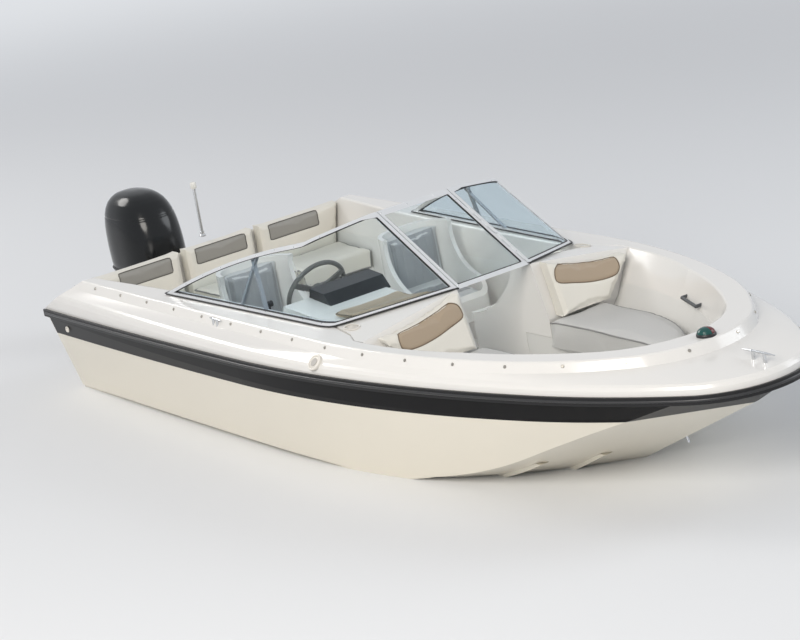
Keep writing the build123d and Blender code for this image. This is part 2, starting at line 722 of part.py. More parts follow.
throttle_box = room & block(
    (THROTTLE[0] - half_x, -FAR, THROTTLE[2] - half_z),
    (THROTTLE[0] + half_x, THROTTLE[1] + half_y, THROTTLE[2] + half_z),
)
lever_y = THROTTLE[1] + half_y + 9
lever_points = (
    (THROTTLE[0] - 12, THROTTLE[2]),
    (THROTTLE[0] + 12, THROTTLE[2]),
    (THROTTLE[0] - 12, THROTTLE[2] + LEVER_LENGTH),
    (THROTTLE[0] - 28, THROTTLE[2] + LEVER_LENGTH),
)
lever = side_block(lever_points, lever_y - 6, lever_y + 6)
lever_hub = rod((THROTTLE[0], lever_y - 14, THROTTLE[2]), (THROTTLE[0], lever_y + 12, THROTTLE[2]), 26)
knob_z = THROTTLE[2] + LEVER_LENGTH
knob = rod((THROTTLE[0] - 20, lever_y - 22, knob_z), (THROTTLE[0] - 20, lever_y + 22, knob_z), 17)
save("throttle_control", throttle_box + lever_hub + lever + knob)

# Bow seats
seat_z = SEAT_BASE_Z + FIT_GAP
seat_top = seat_z + CUSHION_HEIGHT
aft_x = BOW_CUSHION_AFT_X
inner_y = BOW_CUSHION_INNER_Y
cushion_outline = [
    Line((aft_x, inner_y), (DASH_X + 960, inner_y)),
    ThreePointArc((DASH_X + 960, inner_y), (DASH_X + 1045, 290), (DASH_X + 1005, 400)),
    ThreePointArc((DASH_X + 1005, 400), (DASH_X + 730, 545), (DASH_X + 410, 598)),
    Polyline((DASH_X + 410, 598), (aft_x, 598), (aft_x, inner_y)),
]
bow_cushion = Pos(0, 0, seat_z) * extrude(make_face(cushion_outline), CUSHION_HEIGHT) & room
bolster_y = WALKWAY_HALF - FIT_GAP
bolster = block((aft_x, inner_y, seat_z - BOLSTER_DROP), (BOLSTER_FORE_X, bolster_y, seat_z))
bow_cushion += bolster
bow_back_outline = Polyline(
    (BOW_BACK_INNER_Y, seat_top),
    (600, seat_top),
    (790, 668),
    (800, 700),
    (540, 745),
    (BOW_BACK_INNER_Y, 795),
    close=True,
)
back_lean = (BULKHEAD_FOOT[0] - BULKHEAD_TOP[0]) / (BULKHEAD_TOP[1] - BULKHEAD_FOOT[1])


def bulkhead_x(z):
    """Station of the bulkhead's forward face at a height."""
    return BULKHEAD_TOP[0] + (BULKHEAD_TOP[1] - z) * back_lean


back_face = extrude(Plane.YZ * make_face(bow_back_outline), HULL_LENGTH)
back_start = bulkhead_x(seat_top) + FIT_GAP
back_end = bulkhead_x(COAMING_Z + 100) + FIT_GAP
back_slab = side_block(
    (
        (back_start, seat_top),
        (back_end, COAMING_Z + 100),
        (back_end + BOW_BACK_THICKNESS, COAMING_Z + 100),
        (back_start + BOW_BACK_THICKNESS + 10, seat_top),
    ),
    0,
    FAR,
)
bow_back = (back_slab & back_face) & room
for name, turn in (("port", False), ("starboard", True)):
    for node, piece in (("bow_cushion", bow_cushion), ("bow_backrest", bow_back)):
        save(f"{node}_{name}", mirrored(piece) if turn else piece)

# After bench
save("bench_base", block((COCKPIT_AFT_X, -FAR, SOLE_Z), (BENCH_FORE_X, FAR, BENCH_TOP_Z)) & room)
back_x = COCKPIT_AFT_X + FIT_GAP + BENCH_BACK_THICKNESS
bench_z = BENCH_TOP_Z + FIT_GAP
for name, low_y, high_y in (
    ("port", BENCH_SPLIT_Y, FAR),
    ("middle", -BENCH_SPLIT_Y + BENCH_GAP, BENCH_SPLIT_Y - BENCH_GAP),
    ("starboard", -FAR, -BENCH_SPLIT_Y),
):
    cushion = block((back_x, low_y, bench_z), (BENCH_CUSHION_FORE_X, high_y, bench_z + BENCH_CUSHION)) & room
    front_edge = cushion.edges().filter_by(Axis.Y).sort_by(Axis.X)[-2:].sort_by(Axis.Z)[-1]
    save(f"bench_cushion_{name}", fillet(front_edge, SOFT_EDGE))
    backrest = block((COCKPIT_AFT_X, low_y, bench_z), (back_x - FIT_GAP, high_y, BENCH_BACK_TOP_Z)) & room
    top_edge = backrest.edges().filter_by(Axis.Y).sort_by(Axis.X)[-2:].sort_by(Axis.Z)[-1]
    save(f"bench_backrest_{name}", fillet(top_edge, SOFT_EDGE))


# Bucket seats

def bucket_plan(inset):
    """Plan of the seat shell: round at the back, nearly square in front."""
    half = BUCKET_HALF - inset
    face = Rectangle(2 * half, 2 * half)
    face = fillet(face.vertices().filter_by(lambda v: v.X < 0), BUCKET_BACK_R - inset)
    return fillet(face.vertices().filter_by(lambda v: v.X > half - 1), BUCKET_FRONT_R - inset)


def bucket_shell():
    """The moulded shell: a pan with a wall that rises from the arms to the back."""
    height = BUCKET_BACK_TOP_Z - BUCKET_PAN_Z
    outer = Pos(0, 0, BUCKET_PAN_Z) * extrude(bucket_plan(0), height)
    inner = Pos(0, 0, BUCKET_PAN_Z + BUCKET_WALL) * extrude(bucket_plan(BUCKET_WALL), height)
    top, arm = BUCKET_BACK_TOP_Z + 5, BUCKET_ARM_Z
    back, elbow, front = -BUCKET_HALF * 0.25, BUCKET_HALF * 0.6, BUCKET_HALF + 5
    open_side = make_face(
        [
            ThreePointArc((back, top), (0, arm + 60), (elbow, arm - 20)),
            Polyline((elbow, arm - 20), (front, arm - 120), (front, top), (back, top)),
        ]
    )
    return (outer - inner) - side_slab(open_side, -FAR, FAR)


def bucket_cushions():
    """Seat and back pads inside the shell."""
    inset = BUCKET_WALL + FIT_GAP
    low = BUCKET_PAN_Z + BUCKET_WALL + FIT_GAP
    seat = Pos(0, 0, low) * extrude(bucket_plan(inset), BUCKET_PAD)
    back_low = low + BUCKET_PAD + 5
    back_room = Pos(0, 0, back_low) * extrude(bucket_plan(inset), BUCKET_BACK_TOP_Z - 15 - back_low)
    back = back_room & block((-BUCKET_HALF, -FAR, 0), (-BUCKET_HALF * 0.52, FAR, FAR))
    return seat, back


for name, side in (("port", 1), ("starboard", -1)):
    place = Pos(BUCKET_X[name], side * BUCKET_Y, 0)
    foot = Pos(0, 0, SOLE_Z) * extrude(Circle(PEDESTAL_FOOT_R), PEDESTAL_FOOT)
    stem = Pos(0, 0, SOLE_Z) * extrude(Circle(PEDESTAL_R), BUCKET_PAN_Z - SOLE_Z - PEDESTAL_GAP)
    save(f"seat_pedestal_{name}", place * (foot + stem))
    save(f"seat_shell_{name}", place * bucket_shell())
    save(f"seat_cushion_{name}", *[place * pad_piece for pad_piece in bucket_cushions()])


# Outboard motor

def section(row, inset=0):
    """One rounded rectangle of a moulded cover, or of the room inside it."""
    z, x, length, width, radius = row
    return Pos(x, 0, z) * RectangleRounded(length - 2 * inset, width - 2 * inset, radius - inset)


def cross_rod(x, z, radius, length):
    """A round bar athwartships."""
    return Pos(x, 0, z) * Rot(90, 0, 0) * Cylinder(radius, length)


tilt_x, tilt_z = TILT_AXIS
ear_top = [(tilt_x + EAR, tilt_z) for EAR in (30, -30)]
ear_outline = [
    Polyline(
        ear_top[1],
        (-55, 60),
        (-20, BRACKET_FOOT_Z),
        (transom_x(BRACKET_FOOT_Z) + 5, BRACKET_FOOT_Z),
        (transom_x(TRANSOM_TOP_Z) + 5, TRANSOM_TOP_Z + 2),
        (40, 235),
        ear_top[0],
    ),
    ThreePointArc(ear_top[0], (tilt_x, tilt_z + 30), ear_top[1]),
]
transom_board = side_block(
    ((transom_x(FAR), FAR), (transom_x(-FAR), -FAR), (FAR, -FAR), (FAR, TRANSOM_TOP_Z), (FAR, FAR)), -FAR, FAR
)
outer_y = BRACKET_Y + BRACKET_WALL
ear = side_slab(make_face(ear_outline), BRACKET_Y, outer_y) - transom_board
hook_x = transom_x(TRANSOM_TOP_Z) + TRANSOM_BOARD
hook_z = TRANSOM_TOP_Z + 2
hook_points = (
    (-20, hook_z),
    (-20, hook_z + 45),
    (hook_x + 24, hook_z + 45),
    (hook_x + 24, hook_z - 60),
    (hook_x + 6, hook_z - 60),
    (hook_x + 6, hook_z),
)
ear += side_block(hook_points, BRACKET_Y, outer_y)
save("transom_bracket", ear + mirrored(ear) + cross_rod(tilt_x, tilt_z, TILT_TUBE_R, 2 * outer_y + 20))

post_middle = (POST_LOW + POST_HIGH) / 2
post_length = POST_HIGH - POST_LOW
web_points = (
    (tilt_x, tilt_z - NECK_R + 4),
    (STEER_X + 50, POST_HIGH - 4),
    (STEER_X, POST_HIGH - 4),
    (STEER_X, POST_LOW + 60),
    (STEER_X + 70, 60),
    (tilt_x + 10, tilt_z - 70),
)
swivel = cross_rod(tilt_x, tilt_z, NECK_R, 2 * (BRACKET_Y - SWIVEL_GAP))
swivel += Pos(STEER_X, 0, post_middle) * Cylinder(POST_R, post_length)
swivel += side_block(web_points, -POST_R - 3, POST_R + 3)
swivel -= cross_rod(tilt_x, tilt_z, TILT_TUBE_R + PIN_GAP, 400)
swivel -= Pos(STEER_X, 0, post_middle) * Cylinder(KING_PIN_R + PIN_GAP, 2 * post_length)
save("swivel_bracket", swivel)

save("cowl_lower", loft([section(row) for row in COWL_LOWER]))
upper_cowl = loft([section(row) for row in COWL_UPPER])
cowl_room = loft([section(row, COWL_WALL) for row in COWL_UPPER[:-1]])
save("cowl_upper", upper_cowl - cowl_room)
engine_low = COWL_UPPER[0][0] + 5
half_length, half_width = ENGINE[0] / 2, ENGINE[1] / 2
engine = block(
    (COWL_X - half_length, -half_width, engine_low),
    (COWL_X + half_length, half_width, engine_low + ENGINE[2]),
)
save("engine_block", engine)

leg = loft([section(row) for row in MIDSECTION])
leg_relief = Pos(STEER_X, 0, post_middle) * Cylinder(POST_R + 8, post_length + 2 * YOKE_GAP)
leg_top = MIDSECTION[0][0]
yoke_top = block((STEER_X - 90, -YOKE_HALF, POST_HIGH + YOKE_GAP), (STEER_X + 25, YOKE_HALF, leg_top))
foot_high = POST_LOW - YOKE_GAP
yoke_foot = block((STEER_X - 120, -50, foot_high - 34), (STEER_X + 30, 50, foot_high))
king_pin = rod((STEER_X, 0, foot_high - 30), (STEER_X, 0, leg_top), KING_PIN_R)
save("midsection", (leg - leg_relief) + yoke_foot + yoke_top + king_pin)

plate_length, plate_width, plate_r, plate_thickness = PLATE
plate = Pos(-450, 0, PLATE_Z - plate_thickness) * extrude(
    RectangleRounded(plate_length, plate_width, plate_r), plate_thickness
)
strut = loft([section(row) for row in LOWER_STRUT])
nose, tail, barrel_r = TORPEDO_NOSE_X, TORPEDO_TAIL_X, TORPEDO_R
torpedo_outline = [
    ThreePointArc((nose, 0), (nose - 50, barrel_r * 0.76), (nose - 165, barrel_r)),
    Polyline((nose - 165, barrel_r), (tail + 70, barrel_r), (tail, PROP_HUB_R + 2), (tail, 0), (nose, 0)),
]
torpedo = Pos(0, 0, PROP_Z) * revolve(make_face(torpedo_outline), Axis.X)
skeg_points = ((-330, PROP_Z - 30), (-540, PROP_Z - 30), (-560, SKEG_Z + 12), (-470, SKEG_Z))
save("gearcase", plate + strut + torpedo + side_block(skeg_points, -SKEG_HALF, SKEG_HALF))

blade_sections = []
for radius, chord, thickness in BLADE:
    pitch_angle = degrees(atan2(PROP_PITCH, 2 * pi * radius))
    outline = RectangleRounded(chord, thickness, thickness * 0.45)
    blade_sections.append(Pos(0, 0, radius) * Rot(0, 0, 90 - pitch_angle) * outline)
blade = loft(blade_sections, ruled=True)
propeller = Rot(0, 90, 0) * Cylinder(PROP_HUB_R, PROP_HUB)
for turn in (0, 120, 240):
    propeller += Rot(turn, 0, 0) * blade
save("propeller", Pos(PROP_X, 0, PROP_Z) * propeller)

# Lights
light_base = Pos(LIGHT_X, 0, COAMING_Z - 12) * extrude(Circle(LIGHT_R), 12 + LIGHT_FOOT)
light_dome = (Pos(LIGHT_X, 0, COAMING_Z - DOME_DROP) * Sphere(LIGHT_R)) & block(
    (LIGHT_X - LIGHT_R, -LIGHT_R, COAMING_Z + LIGHT_FOOT - 2), (LIGHT_X + LIGHT_R, LIGHT_R, FAR)
)
save("bow_light", largest((light_base + light_dome) - deck))
pole_x = (WELL_FORE_X + COCKPIT_AFT_X) / 2
pole_base = Pos(pole_x, POLE_Y, COAMING_Z) * extrude(Circle(POLE_BASE[0]), POLE_BASE[1])
pole = rod((pole_x, POLE_Y, COAMING_Z), (pole_x, POLE_Y, POLE_TOP_Z - GLOBE_R), POLE_R)
globe = Pos(pole_x, POLE_Y, POLE_TOP_Z - GLOBE_R) * Cylinder(GLOBE_R, 2 * GLOBE_R)
save("stern_light", pole_base + pole + globe)


# Deck and hull fittings

def cleat(x, y, z, turn, length):
    """A horn cleat: two feet and a bar with tapered horns."""
    feet = []
    for side in (-1, 1):
        foot = Pos(side * length * 0.17, 0, -30) * extrude(Circle(CLEAT_BAR_R + 3), CLEAT_HEIGHT + 30)
        feet.append(foot)
    half = length / 2
    outline = [
        Polyline((-half, 0), (-half, 3), (-half * 0.4, CLEAT_BAR_R), (half * 0.4, CLEAT_BAR_R), (half, 3), (half, 0)),
        Line((half, 0), (-half, 0)),
    ]
    bar = Pos(0, 0, CLEAT_HEIGHT) * revolve(make_face(outline), Axis.X)
    return Pos(x, y, z) * Rot(0, 0, turn) * (bar + feet[0] + feet[1])


save("cleats", *[largest(cleat(*row) - deck) for row in CLEATS])


def tow_eye(place, along, across):
    """A U-bolt on its plate; along is the direction it stands out, across the one it spans."""
    out, side = Vector(*along).normalized(), Vector(*across).normalized()
    centre = Vector(*place)
    plane = Plane(origin=centre, x_dir=side, z_dir=out.cross(side))
    half = 19
    path = [
        Line((-half, -30), (-half, TOW_EYE_REACH - half)),
        ThreePointArc((-half, TOW_EYE_REACH - half), (0, TOW_EYE_REACH), (half, TOW_EYE_REACH - half)),
        Line((half, TOW_EYE_REACH - half), (half, -30)),
    ]
    wire = plane * Wire(path)
    start = plane * Pos(-half, -30, 0) * Rot(90, 0, 0)
    return sweep(Plane(start.position, z_dir=plane.y_dir) * Circle(TOW_EYE_R), path=wire)


bow_eye_x = stem_x(BOW_EYE_Z)
out_of_stem = (sin(radians(STEM_SLOPE)), 0, -cos(radians(STEM_SLOPE)))
up_the_stem = (cos(radians(STEM_SLOPE)), 0, sin(radians(STEM_SLOPE)))
bow_eye = tow_eye((bow_eye_x, 0, BOW_EYE_Z), out_of_stem, up_the_stem)
stern_half, stern_eye_z = STERN_EYE
out_of_transom = (-cos(radians(TRANSOM_RAKE)), 0, -sin(radians(TRANSOM_RAKE)))
stern_eye = tow_eye((transom_x(stern_eye_z), stern_half, stern_eye_z), out_of_transom, (0, 1, 0))
save("tow_eyes", *[largest(eye - hull) for eye in (bow_eye, stern_eye, mirrored(stern_eye))])

# Fuel cap on the side deck, drain fitting in the stripe, and grab handles on the bow liner
cap = Pos(*CAP_PLACE) * Rot(CAP_TILT, 0, 0)
fuel_cap = cap * Pos(0, 0, -20) * extrude(Circle(CAP_R), 20 + CAP_HEIGHT)
save("fuel_cap", largest(fuel_cap - deck))
drain_y = -(RAIL_LEVEL[1] + 12)
drain_z = sheer_z(DRAIN_X) - DRAIN_DROP
drain = rod((DRAIN_X, drain_y + 60, drain_z), (DRAIN_X, drain_y, drain_z), DRAIN_R) - hull
save("drain_fitting", min(drain.solids(), key=lambda solid: solid.center().Y))


def bow_wall(ahead, z):
    """Half width of the bow opening's wall at a distance ahead of the dash and a height."""
    rise = (z - SEAT_BASE_Z) / (OPENING_TOP_Z - SEAT_BASE_Z)
    halves = []
    for column in (0, 2):
        rows = [(row[column], row[column + 1]) for row in BOW_SIDE]
        i = max(k for k in range(len(rows) - 1) if rows[k][0] <= ahead)
        t = (ahead - rows[i][0]) / (rows[i + 1][0] - rows[i][0])
        halves.append(rows[i][1] + t * (rows[i + 1][1] - rows[i][1]))
    return halves[0] + rise * (halves[1] - halves[0])


ends = []
for offset_x in (-HANDLE_LENGTH / 2, HANDLE_LENGTH / 2):
    ahead = HANDLE_X - DASH_X + offset_x
    ends.append(Vector(HANDLE_X + offset_x, bow_wall(ahead, HANDLE_Z) - 26, HANDLE_Z))
grip = rod(tuple(ends[0]), tuple(ends[1]), HANDLE_R)
for end in ends:
    grip += Pos(*end) * Sphere(HANDLE_R)
    grip += rod(tuple(end), (end.X, end.Y + 80, end.Z), HANDLE_R)
grab_handle = largest(grip & interior(-0.3))
save("grab_handles", grab_handle, mirrored(grab_handle))
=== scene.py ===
from math import cos, exp, pi, radians, sin

import bmesh
import bpy
from mathutils import Matrix, Vector
from mathutils.bvhtree import BVHTree


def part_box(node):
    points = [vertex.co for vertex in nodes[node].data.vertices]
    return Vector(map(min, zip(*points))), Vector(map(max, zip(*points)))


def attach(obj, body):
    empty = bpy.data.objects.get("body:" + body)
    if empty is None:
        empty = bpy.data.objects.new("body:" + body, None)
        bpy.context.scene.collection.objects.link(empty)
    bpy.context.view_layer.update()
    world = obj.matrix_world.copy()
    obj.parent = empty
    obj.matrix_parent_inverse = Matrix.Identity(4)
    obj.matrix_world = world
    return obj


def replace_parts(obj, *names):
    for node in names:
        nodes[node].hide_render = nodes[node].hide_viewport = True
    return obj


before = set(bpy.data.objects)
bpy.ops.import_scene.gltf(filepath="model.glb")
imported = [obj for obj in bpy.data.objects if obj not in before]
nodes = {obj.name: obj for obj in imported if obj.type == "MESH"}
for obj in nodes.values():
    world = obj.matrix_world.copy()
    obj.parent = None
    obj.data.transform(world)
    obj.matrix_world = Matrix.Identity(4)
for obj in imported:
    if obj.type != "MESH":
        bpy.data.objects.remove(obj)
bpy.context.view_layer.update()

scene = bpy.context.scene
scene.view_settings.view_transform = "Standard"

# Camera: off the starboard bow and above the windshield, with a long lens.
# It is rolled, because the boat leans into its turn.
CAMERA_PLACE = (14.395, -7.717, 4.432)
CAMERA_HEADING = radians(57.59)
CAMERA_DROP = radians(15.54)
CAMERA_ROLL = radians(-10)
LENS = 124.3


def add_object(name, data):
    """A new object at the origin."""
    piece = bpy.data.objects.new(name, data)
    scene.collection.objects.link(piece)
    return piece


camera_data = bpy.data.cameras.new("camera")
camera_data.lens = LENS
camera_data.sensor_width = 36
camera_data.clip_end = 300
camera = add_object("camera", camera_data)
heading = Matrix.Rotation(CAMERA_HEADING, 4, "Z")
drop = Matrix.Rotation(pi / 2 - CAMERA_DROP, 4, "X")
roll = Matrix.Rotation(CAMERA_ROLL, 4, "Z")
camera.matrix_world = Matrix.Translation(CAMERA_PLACE) @ heading @ drop @ roll
scene.camera = camera

# Floor and light: a pale floor at the waterline that fades into a pale backdrop, a large soft key lamp
# to starboard of the bow, a fill lamp to port, a rim lamp astern, and an even sky.
FLOOR_HALF = 80
FADE_NEAR, FADE_FAR = 5, 17
BACKDROP_COLOUR = (0.74, 0.76, 0.79, 1)
FLOOR_COLOUR = (0.80, 0.81, 0.82, 1)
SKY_COLOUR = (0.90, 0.93, 1.0, 1)
SKY_STRENGTH = 0.42
# Columns: name, place, size, watts, colour
LAMPS = (
    ("key", (9.5, -9.5, 8.0), 7.0, 1150, (1.0, 0.955, 0.89)),
    ("fill", (8.0, 9.0, 6.0), 6.0, 330, (0.92, 0.96, 1.0)),
    ("rim", (-8.0, -3.0, 8.0), 5.0, 420, (1.0, 0.98, 0.95)),
)
LAMP_AIM = Vector((2.6, 0, 0.3))


def add_mesh(name, points, faces):
    """A new mesh object at the origin."""
    mesh = bpy.data.meshes.new(name)
    mesh.from_pydata(points, [], faces)
    return add_object(name, mesh)


def add_material(name):
    """A new material with its Principled shader."""
    material = bpy.data.materials.new(name)
    material.use_nodes = True
    return material, material.node_tree, material.node_tree.nodes["Principled BSDF"]


def add_node(tree, kind, inputs=None, **settings):
    """One shader node; inputs are values or sockets to link from."""
    node = tree.nodes.new(kind)
    for key, value in settings.items():
        setattr(node, key, value)
    for key, value in (inputs or {}).items():
        if isinstance(value, bpy.types.NodeSocket):
            tree.links.new(value, node.inputs[key])
        else:
            node.inputs[key].default_value = value
    return node


def maths(tree, operation, *values):
    """The result of one Math node; values are numbers or sockets."""
    return add_node(tree, "ShaderNodeMath", dict(enumerate(values)), operation=operation).outputs[0]


def object_place(tree):
    """The place on the piece, in metres."""
    return add_node(tree, "ShaderNodeTexCoord").outputs["Object"]


def backdrop_rays(tree):
    """One for rays that show the backdrop: from the camera, from gloss and through glass."""
    rays = add_node(tree, "ShaderNodeLightPath").outputs
    seen = maths(tree, "MAXIMUM", rays["Is Camera Ray"], rays["Is Glossy Ray"])
    return maths(tree, "MAXIMUM", seen, rays["Is Transmission Ray"])


corners = [(x * FLOOR_HALF, y * FLOOR_HALF, 0) for x, y in ((-1, -1), (1, -1), (1, 1), (-1, 1))]
floor = add_mesh("floor", corners, [(0, 1, 2, 3)])
floor_material, tree, shader = add_material("studio_floor")
shader.inputs["Base Color"].default_value = FLOOR_COLOUR
shader.inputs["Roughness"].default_value = 0.65
shader.inputs["Specular IOR Level"].default_value = 0.2
away = add_node(tree, "ShaderNodeVectorMath", {0: object_place(tree)}, operation="LENGTH")
fade = add_node(
    tree,
    "ShaderNodeMapRange",
    {"Value": away.outputs["Value"], "From Min": FADE_NEAR, "From Max": FADE_FAR},
    interpolation_type="SMOOTHSTEP",
)
backdrop = add_node(tree, "ShaderNodeEmission", {"Color": BACKDROP_COLOUR, "Strength": 1.0})
shown = maths(tree, "MULTIPLY", fade.outputs[0], backdrop_rays(tree))
surface = add_node(tree, "ShaderNodeMixShader", {0: shown, 1: shader.outputs[0], 2: backdrop.outputs[0]})
tree.links.new(surface.outputs[0], tree.nodes["Material Output"].inputs["Surface"])
floor.data.materials.append(floor_material)
for name, place, size, watts, colour in LAMPS:
    lamp_data = bpy.data.lights.new(name, "AREA")
    lamp_data.shape = "DISK"
    lamp_data.size, lamp_data.energy, lamp_data.color = size, watts, colour
    lamp = add_object(name, lamp_data)
    lamp.location = place
    lamp.rotation_euler = (LAMP_AIM - Vector(place)).to_track_quat("-Z", "Y").to_euler()
world = bpy.data.worlds.new("sky")
scene.world = world
world.use_nodes = True
sky = world.node_tree.nodes["Background"]
sky.inputs["Color"].default_value = SKY_COLOUR
sky.inputs["Strength"].default_value = SKY_STRENGTH
tree = world.node_tree
distance = add_node(tree, "ShaderNodeBackground", {"Color": BACKDROP_COLOUR, "Strength": 1.0})
heavens = add_node(tree, "ShaderNodeMixShader", {0: backdrop_rays(tree), 1: sky.outputs[0], 2: distance.outputs[0]})
tree.links.new(heavens.outputs[0], tree.nodes["World Output"].inputs["Surface"])


# Shared surface effects, as shader groups that give colours and normals from Object coordinates.
# Tint drifts a colour in soft patches. Relief raises a fine noise. Grain is the pebble of vinyl.
def new_group(name, inputs, outputs):
    """A shader group with its inputs (name, kind, value) and outputs (name, kind)."""
    group = bpy.data.node_groups.new(name, "ShaderNodeTree")
    for label, kind, value in inputs:
        socket = group.interface.new_socket(label, in_out="INPUT", socket_type=kind)
        socket.default_value = value
    for label, kind in outputs:
        group.interface.new_socket(label, in_out="OUTPUT", socket_type=kind)
    return group, group.nodes.new("NodeGroupInput").outputs, group.nodes.new("NodeGroupOutput").inputs


tint_group, given, result = new_group(
    "tint",
    (
        ("Colour", "NodeSocketColor", (1, 1, 1, 1)),
        ("Scale", "NodeSocketFloat", 2),
        ("Amount", "NodeSocketFloat", 0.05),
    ),
    (("Colour", "NodeSocketColor"),),
)
place = object_place(tint_group)
patches = add_node(tint_group, "ShaderNodeTexNoise", {"Vector": place, "Scale": given["Scale"], "Detail": 3})
swing = maths(tint_group, "SUBTRACT", patches.outputs["Fac"], 0.5)
share = maths(tint_group, "MULTIPLY_ADD", swing, given["Amount"], 1.0)
shaded = add_node(tint_group, "ShaderNodeHueSaturation", {"Value": share, "Color": given["Colour"]})
tint_group.links.new(shaded.outputs["Color"], result["Colour"])

relief_group, given, result = new_group(
    "relief",
    (("Scale", "NodeSocketFloat", 300), ("Depth", "NodeSocketFloat", 0.1)),
    (("Height", "NodeSocketFloat"),),
)
place = object_place(relief_group)
bumps = add_node(relief_group, "ShaderNodeTexNoise", {"Vector": place, "Scale": given["Scale"], "Detail": 2})
relief_group.links.new(maths(relief_group, "MULTIPLY", bumps.outputs["Fac"], given["Depth"]), result["Height"])

grain_group, given, result = new_group(
    "grain",
    (("Scale", "NodeSocketFloat", 450), ("Depth", "NodeSocketFloat", 1)),
    (("Height", "NodeSocketFloat"),),
)
pebbles = add_node(
    grain_group,
    "ShaderNodeTexVoronoi",
    {"Vector": object_place(grain_group), "Scale": given["Scale"], "Randomness": 1},
    feature="DISTANCE_TO_EDGE",
)
rounded = maths(grain_group, "POWER", pebbles.outputs["Distance"], 0.5)
grain_group.links.new(maths(grain_group, "MULTIPLY", rounded, given["Depth"]), result["Height"])


def use_group(tree, group, **values):
    """Place a shared effect in a material."""
    return add_node(tree, "ShaderNodeGroup", values, node_tree=group)


def two_colours(tree, factor, first, second):
    """The first colour where the factor is 0, and the second where it is 1."""
    mixed = add_node(tree, "ShaderNodeMix", {"Factor": factor, "A": first, "B": second}, data_type="RGBA")
    return mixed.outputs["Result"]


def emboss(tree, shader, height, distance, strength=1.0):
    """Raise a shader's surface by a height, in metres."""
    normal = add_node(tree, "ShaderNodeBump", {"Strength": strength, "Distance": distance, "Height": height})
    tree.links.new(normal.outputs["Normal"], shader.inputs["Normal"])


def finish(name, colour, roughness, tint, bump=None, grained=None, coat=0.0, metal=0.0, ior=1.5, inset=None):
    """A surface finish: a drifting colour, with a noise bump or a vinyl grain where one is given.

    Tint is the drift's (scale, amount); bump and grained are (scale, height). With inset, a second colour
    fills the area where the piece's "inset" attribute is below zero.
    """
    material, tree, shader = add_material(name)
    drift = use_group(tree, tint_group, Colour=(*colour, 1), Scale=tint[0], Amount=tint[1])
    if inset:
        area = add_node(tree, "ShaderNodeAttribute", attribute_name="inset")
        inside = maths(tree, "LESS_THAN", area.outputs["Fac"], 0.0)
        tree.links.new(two_colours(tree, inside, (*colour, 1), (*inset, 1)), drift.inputs["Colour"])
    tree.links.new(drift.outputs["Colour"], shader.inputs["Base Color"])
    shader.inputs["Roughness"].default_value = roughness
    shader.inputs["Metallic"].default_value = metal
    shader.inputs["IOR"].default_value = ior
    shader.inputs["Coat Weight"].default_value = coat
    shader.inputs["Coat Roughness"].default_value = 0.07
    if grained or bump:
        group, (scale, distance) = (grain_group, grained) if grained else (relief_group, bump)
        source = use_group(tree, group, Scale=scale, Depth=1.0)
        emboss(tree, shader, source.outputs["Height"], distance)
    return material


def dress(material, *names):
    """Give CAD nodes a finish."""
    for name in names:
        for slot in nodes[name].material_slots:
            slot.material = material


# Hull: one glossy moulding of cream gelcoat, with a black stripe sprayed into the mould.
# The stripe hangs below the rub rail and follows the sheer line along both sides to the bow.
SHEER_STERN, SHEER_MIDDLE, SHEER_BOW = 0.480, 0.546, 0.560
SHEER_LENGTH = 5.3
STRIPE_DROP = 0.138
CREAM = (0.80, 0.755, 0.655)
STRIPE_BLACK = (0.004, 0.004, 0.005)
CREAM_POLISH, STRIPE_POLISH = 0.5, 0.12
PEEL_SCALE, PEEL_HEIGHT = 260, 0.00003
# The stripe stops short of the motor well and of the raked transom
WELL_SIDE_Y, WELL_END_X = 0.6, 1.0
TRANSOM_LEAN, TRANSOM_PLACE = 0.231, 0.115
sheer_bulge = 4 * (SHEER_MIDDLE - (SHEER_STERN + SHEER_BOW) / 2)
sheer_slope = (SHEER_BOW - SHEER_STERN + sheer_bulge) / SHEER_LENGTH


def sheer_z(x):
    """Height of the sheer line at a station."""
    return SHEER_STERN + sheer_slope * x - sheer_bulge * (x / SHEER_LENGTH) ** 2


hull_finish, tree, shader = add_material("hull_gelcoat")
axes = add_node(tree, "ShaderNodeSeparateXYZ", {0: object_place(tree)}).outputs
bend = maths(tree, "MULTIPLY_ADD", axes["X"], -sheer_bulge / SHEER_LENGTH**2, sheer_slope)
stripe_foot = maths(tree, "MULTIPLY_ADD", bend, axes["X"], SHEER_STERN - STRIPE_DROP)
over = maths(tree, "SUBTRACT", axes["Z"], stripe_foot)
outboard = maths(tree, "SUBTRACT", maths(tree, "ABSOLUTE", axes["Y"]), WELL_SIDE_Y)
forward = maths(tree, "SUBTRACT", axes["X"], WELL_END_X)
leant = maths(tree, "MULTIPLY_ADD", axes["Z"], TRANSOM_LEAN, axes["X"])
quarter = maths(tree, "SUBTRACT", leant, TRANSOM_PLACE)
side = maths(tree, "MINIMUM", maths(tree, "MAXIMUM", outboard, forward), quarter)
striped = maths(tree, "GREATER_THAN", maths(tree, "MINIMUM", side, over), 0.0)
cream = use_group(tree, tint_group, Colour=(*CREAM, 1), Scale=1.3, Amount=0.06)
tree.links.new(two_colours(tree, striped, cream.outputs["Colour"], (*STRIPE_BLACK, 1)), shader.inputs["Base Color"])
peel = use_group(tree, relief_group, Scale=PEEL_SCALE, Depth=1.0)
emboss(tree, shader, peel.outputs["Height"], PEEL_HEIGHT)
polish = add_node(tree, "ShaderNodeMapRange", {"Value": striped, "To Min": CREAM_POLISH, "To Max": STRIPE_POLISH})
tree.links.new(polish.outputs[0], shader.inputs["Coat Weight"])
shader.inputs["Roughness"].default_value = 0.3
shader.inputs["Specular IOR Level"].default_value = 0.1
shader.inputs["Coat Roughness"].default_value = 0.06
dress(hull_finish, "hull")

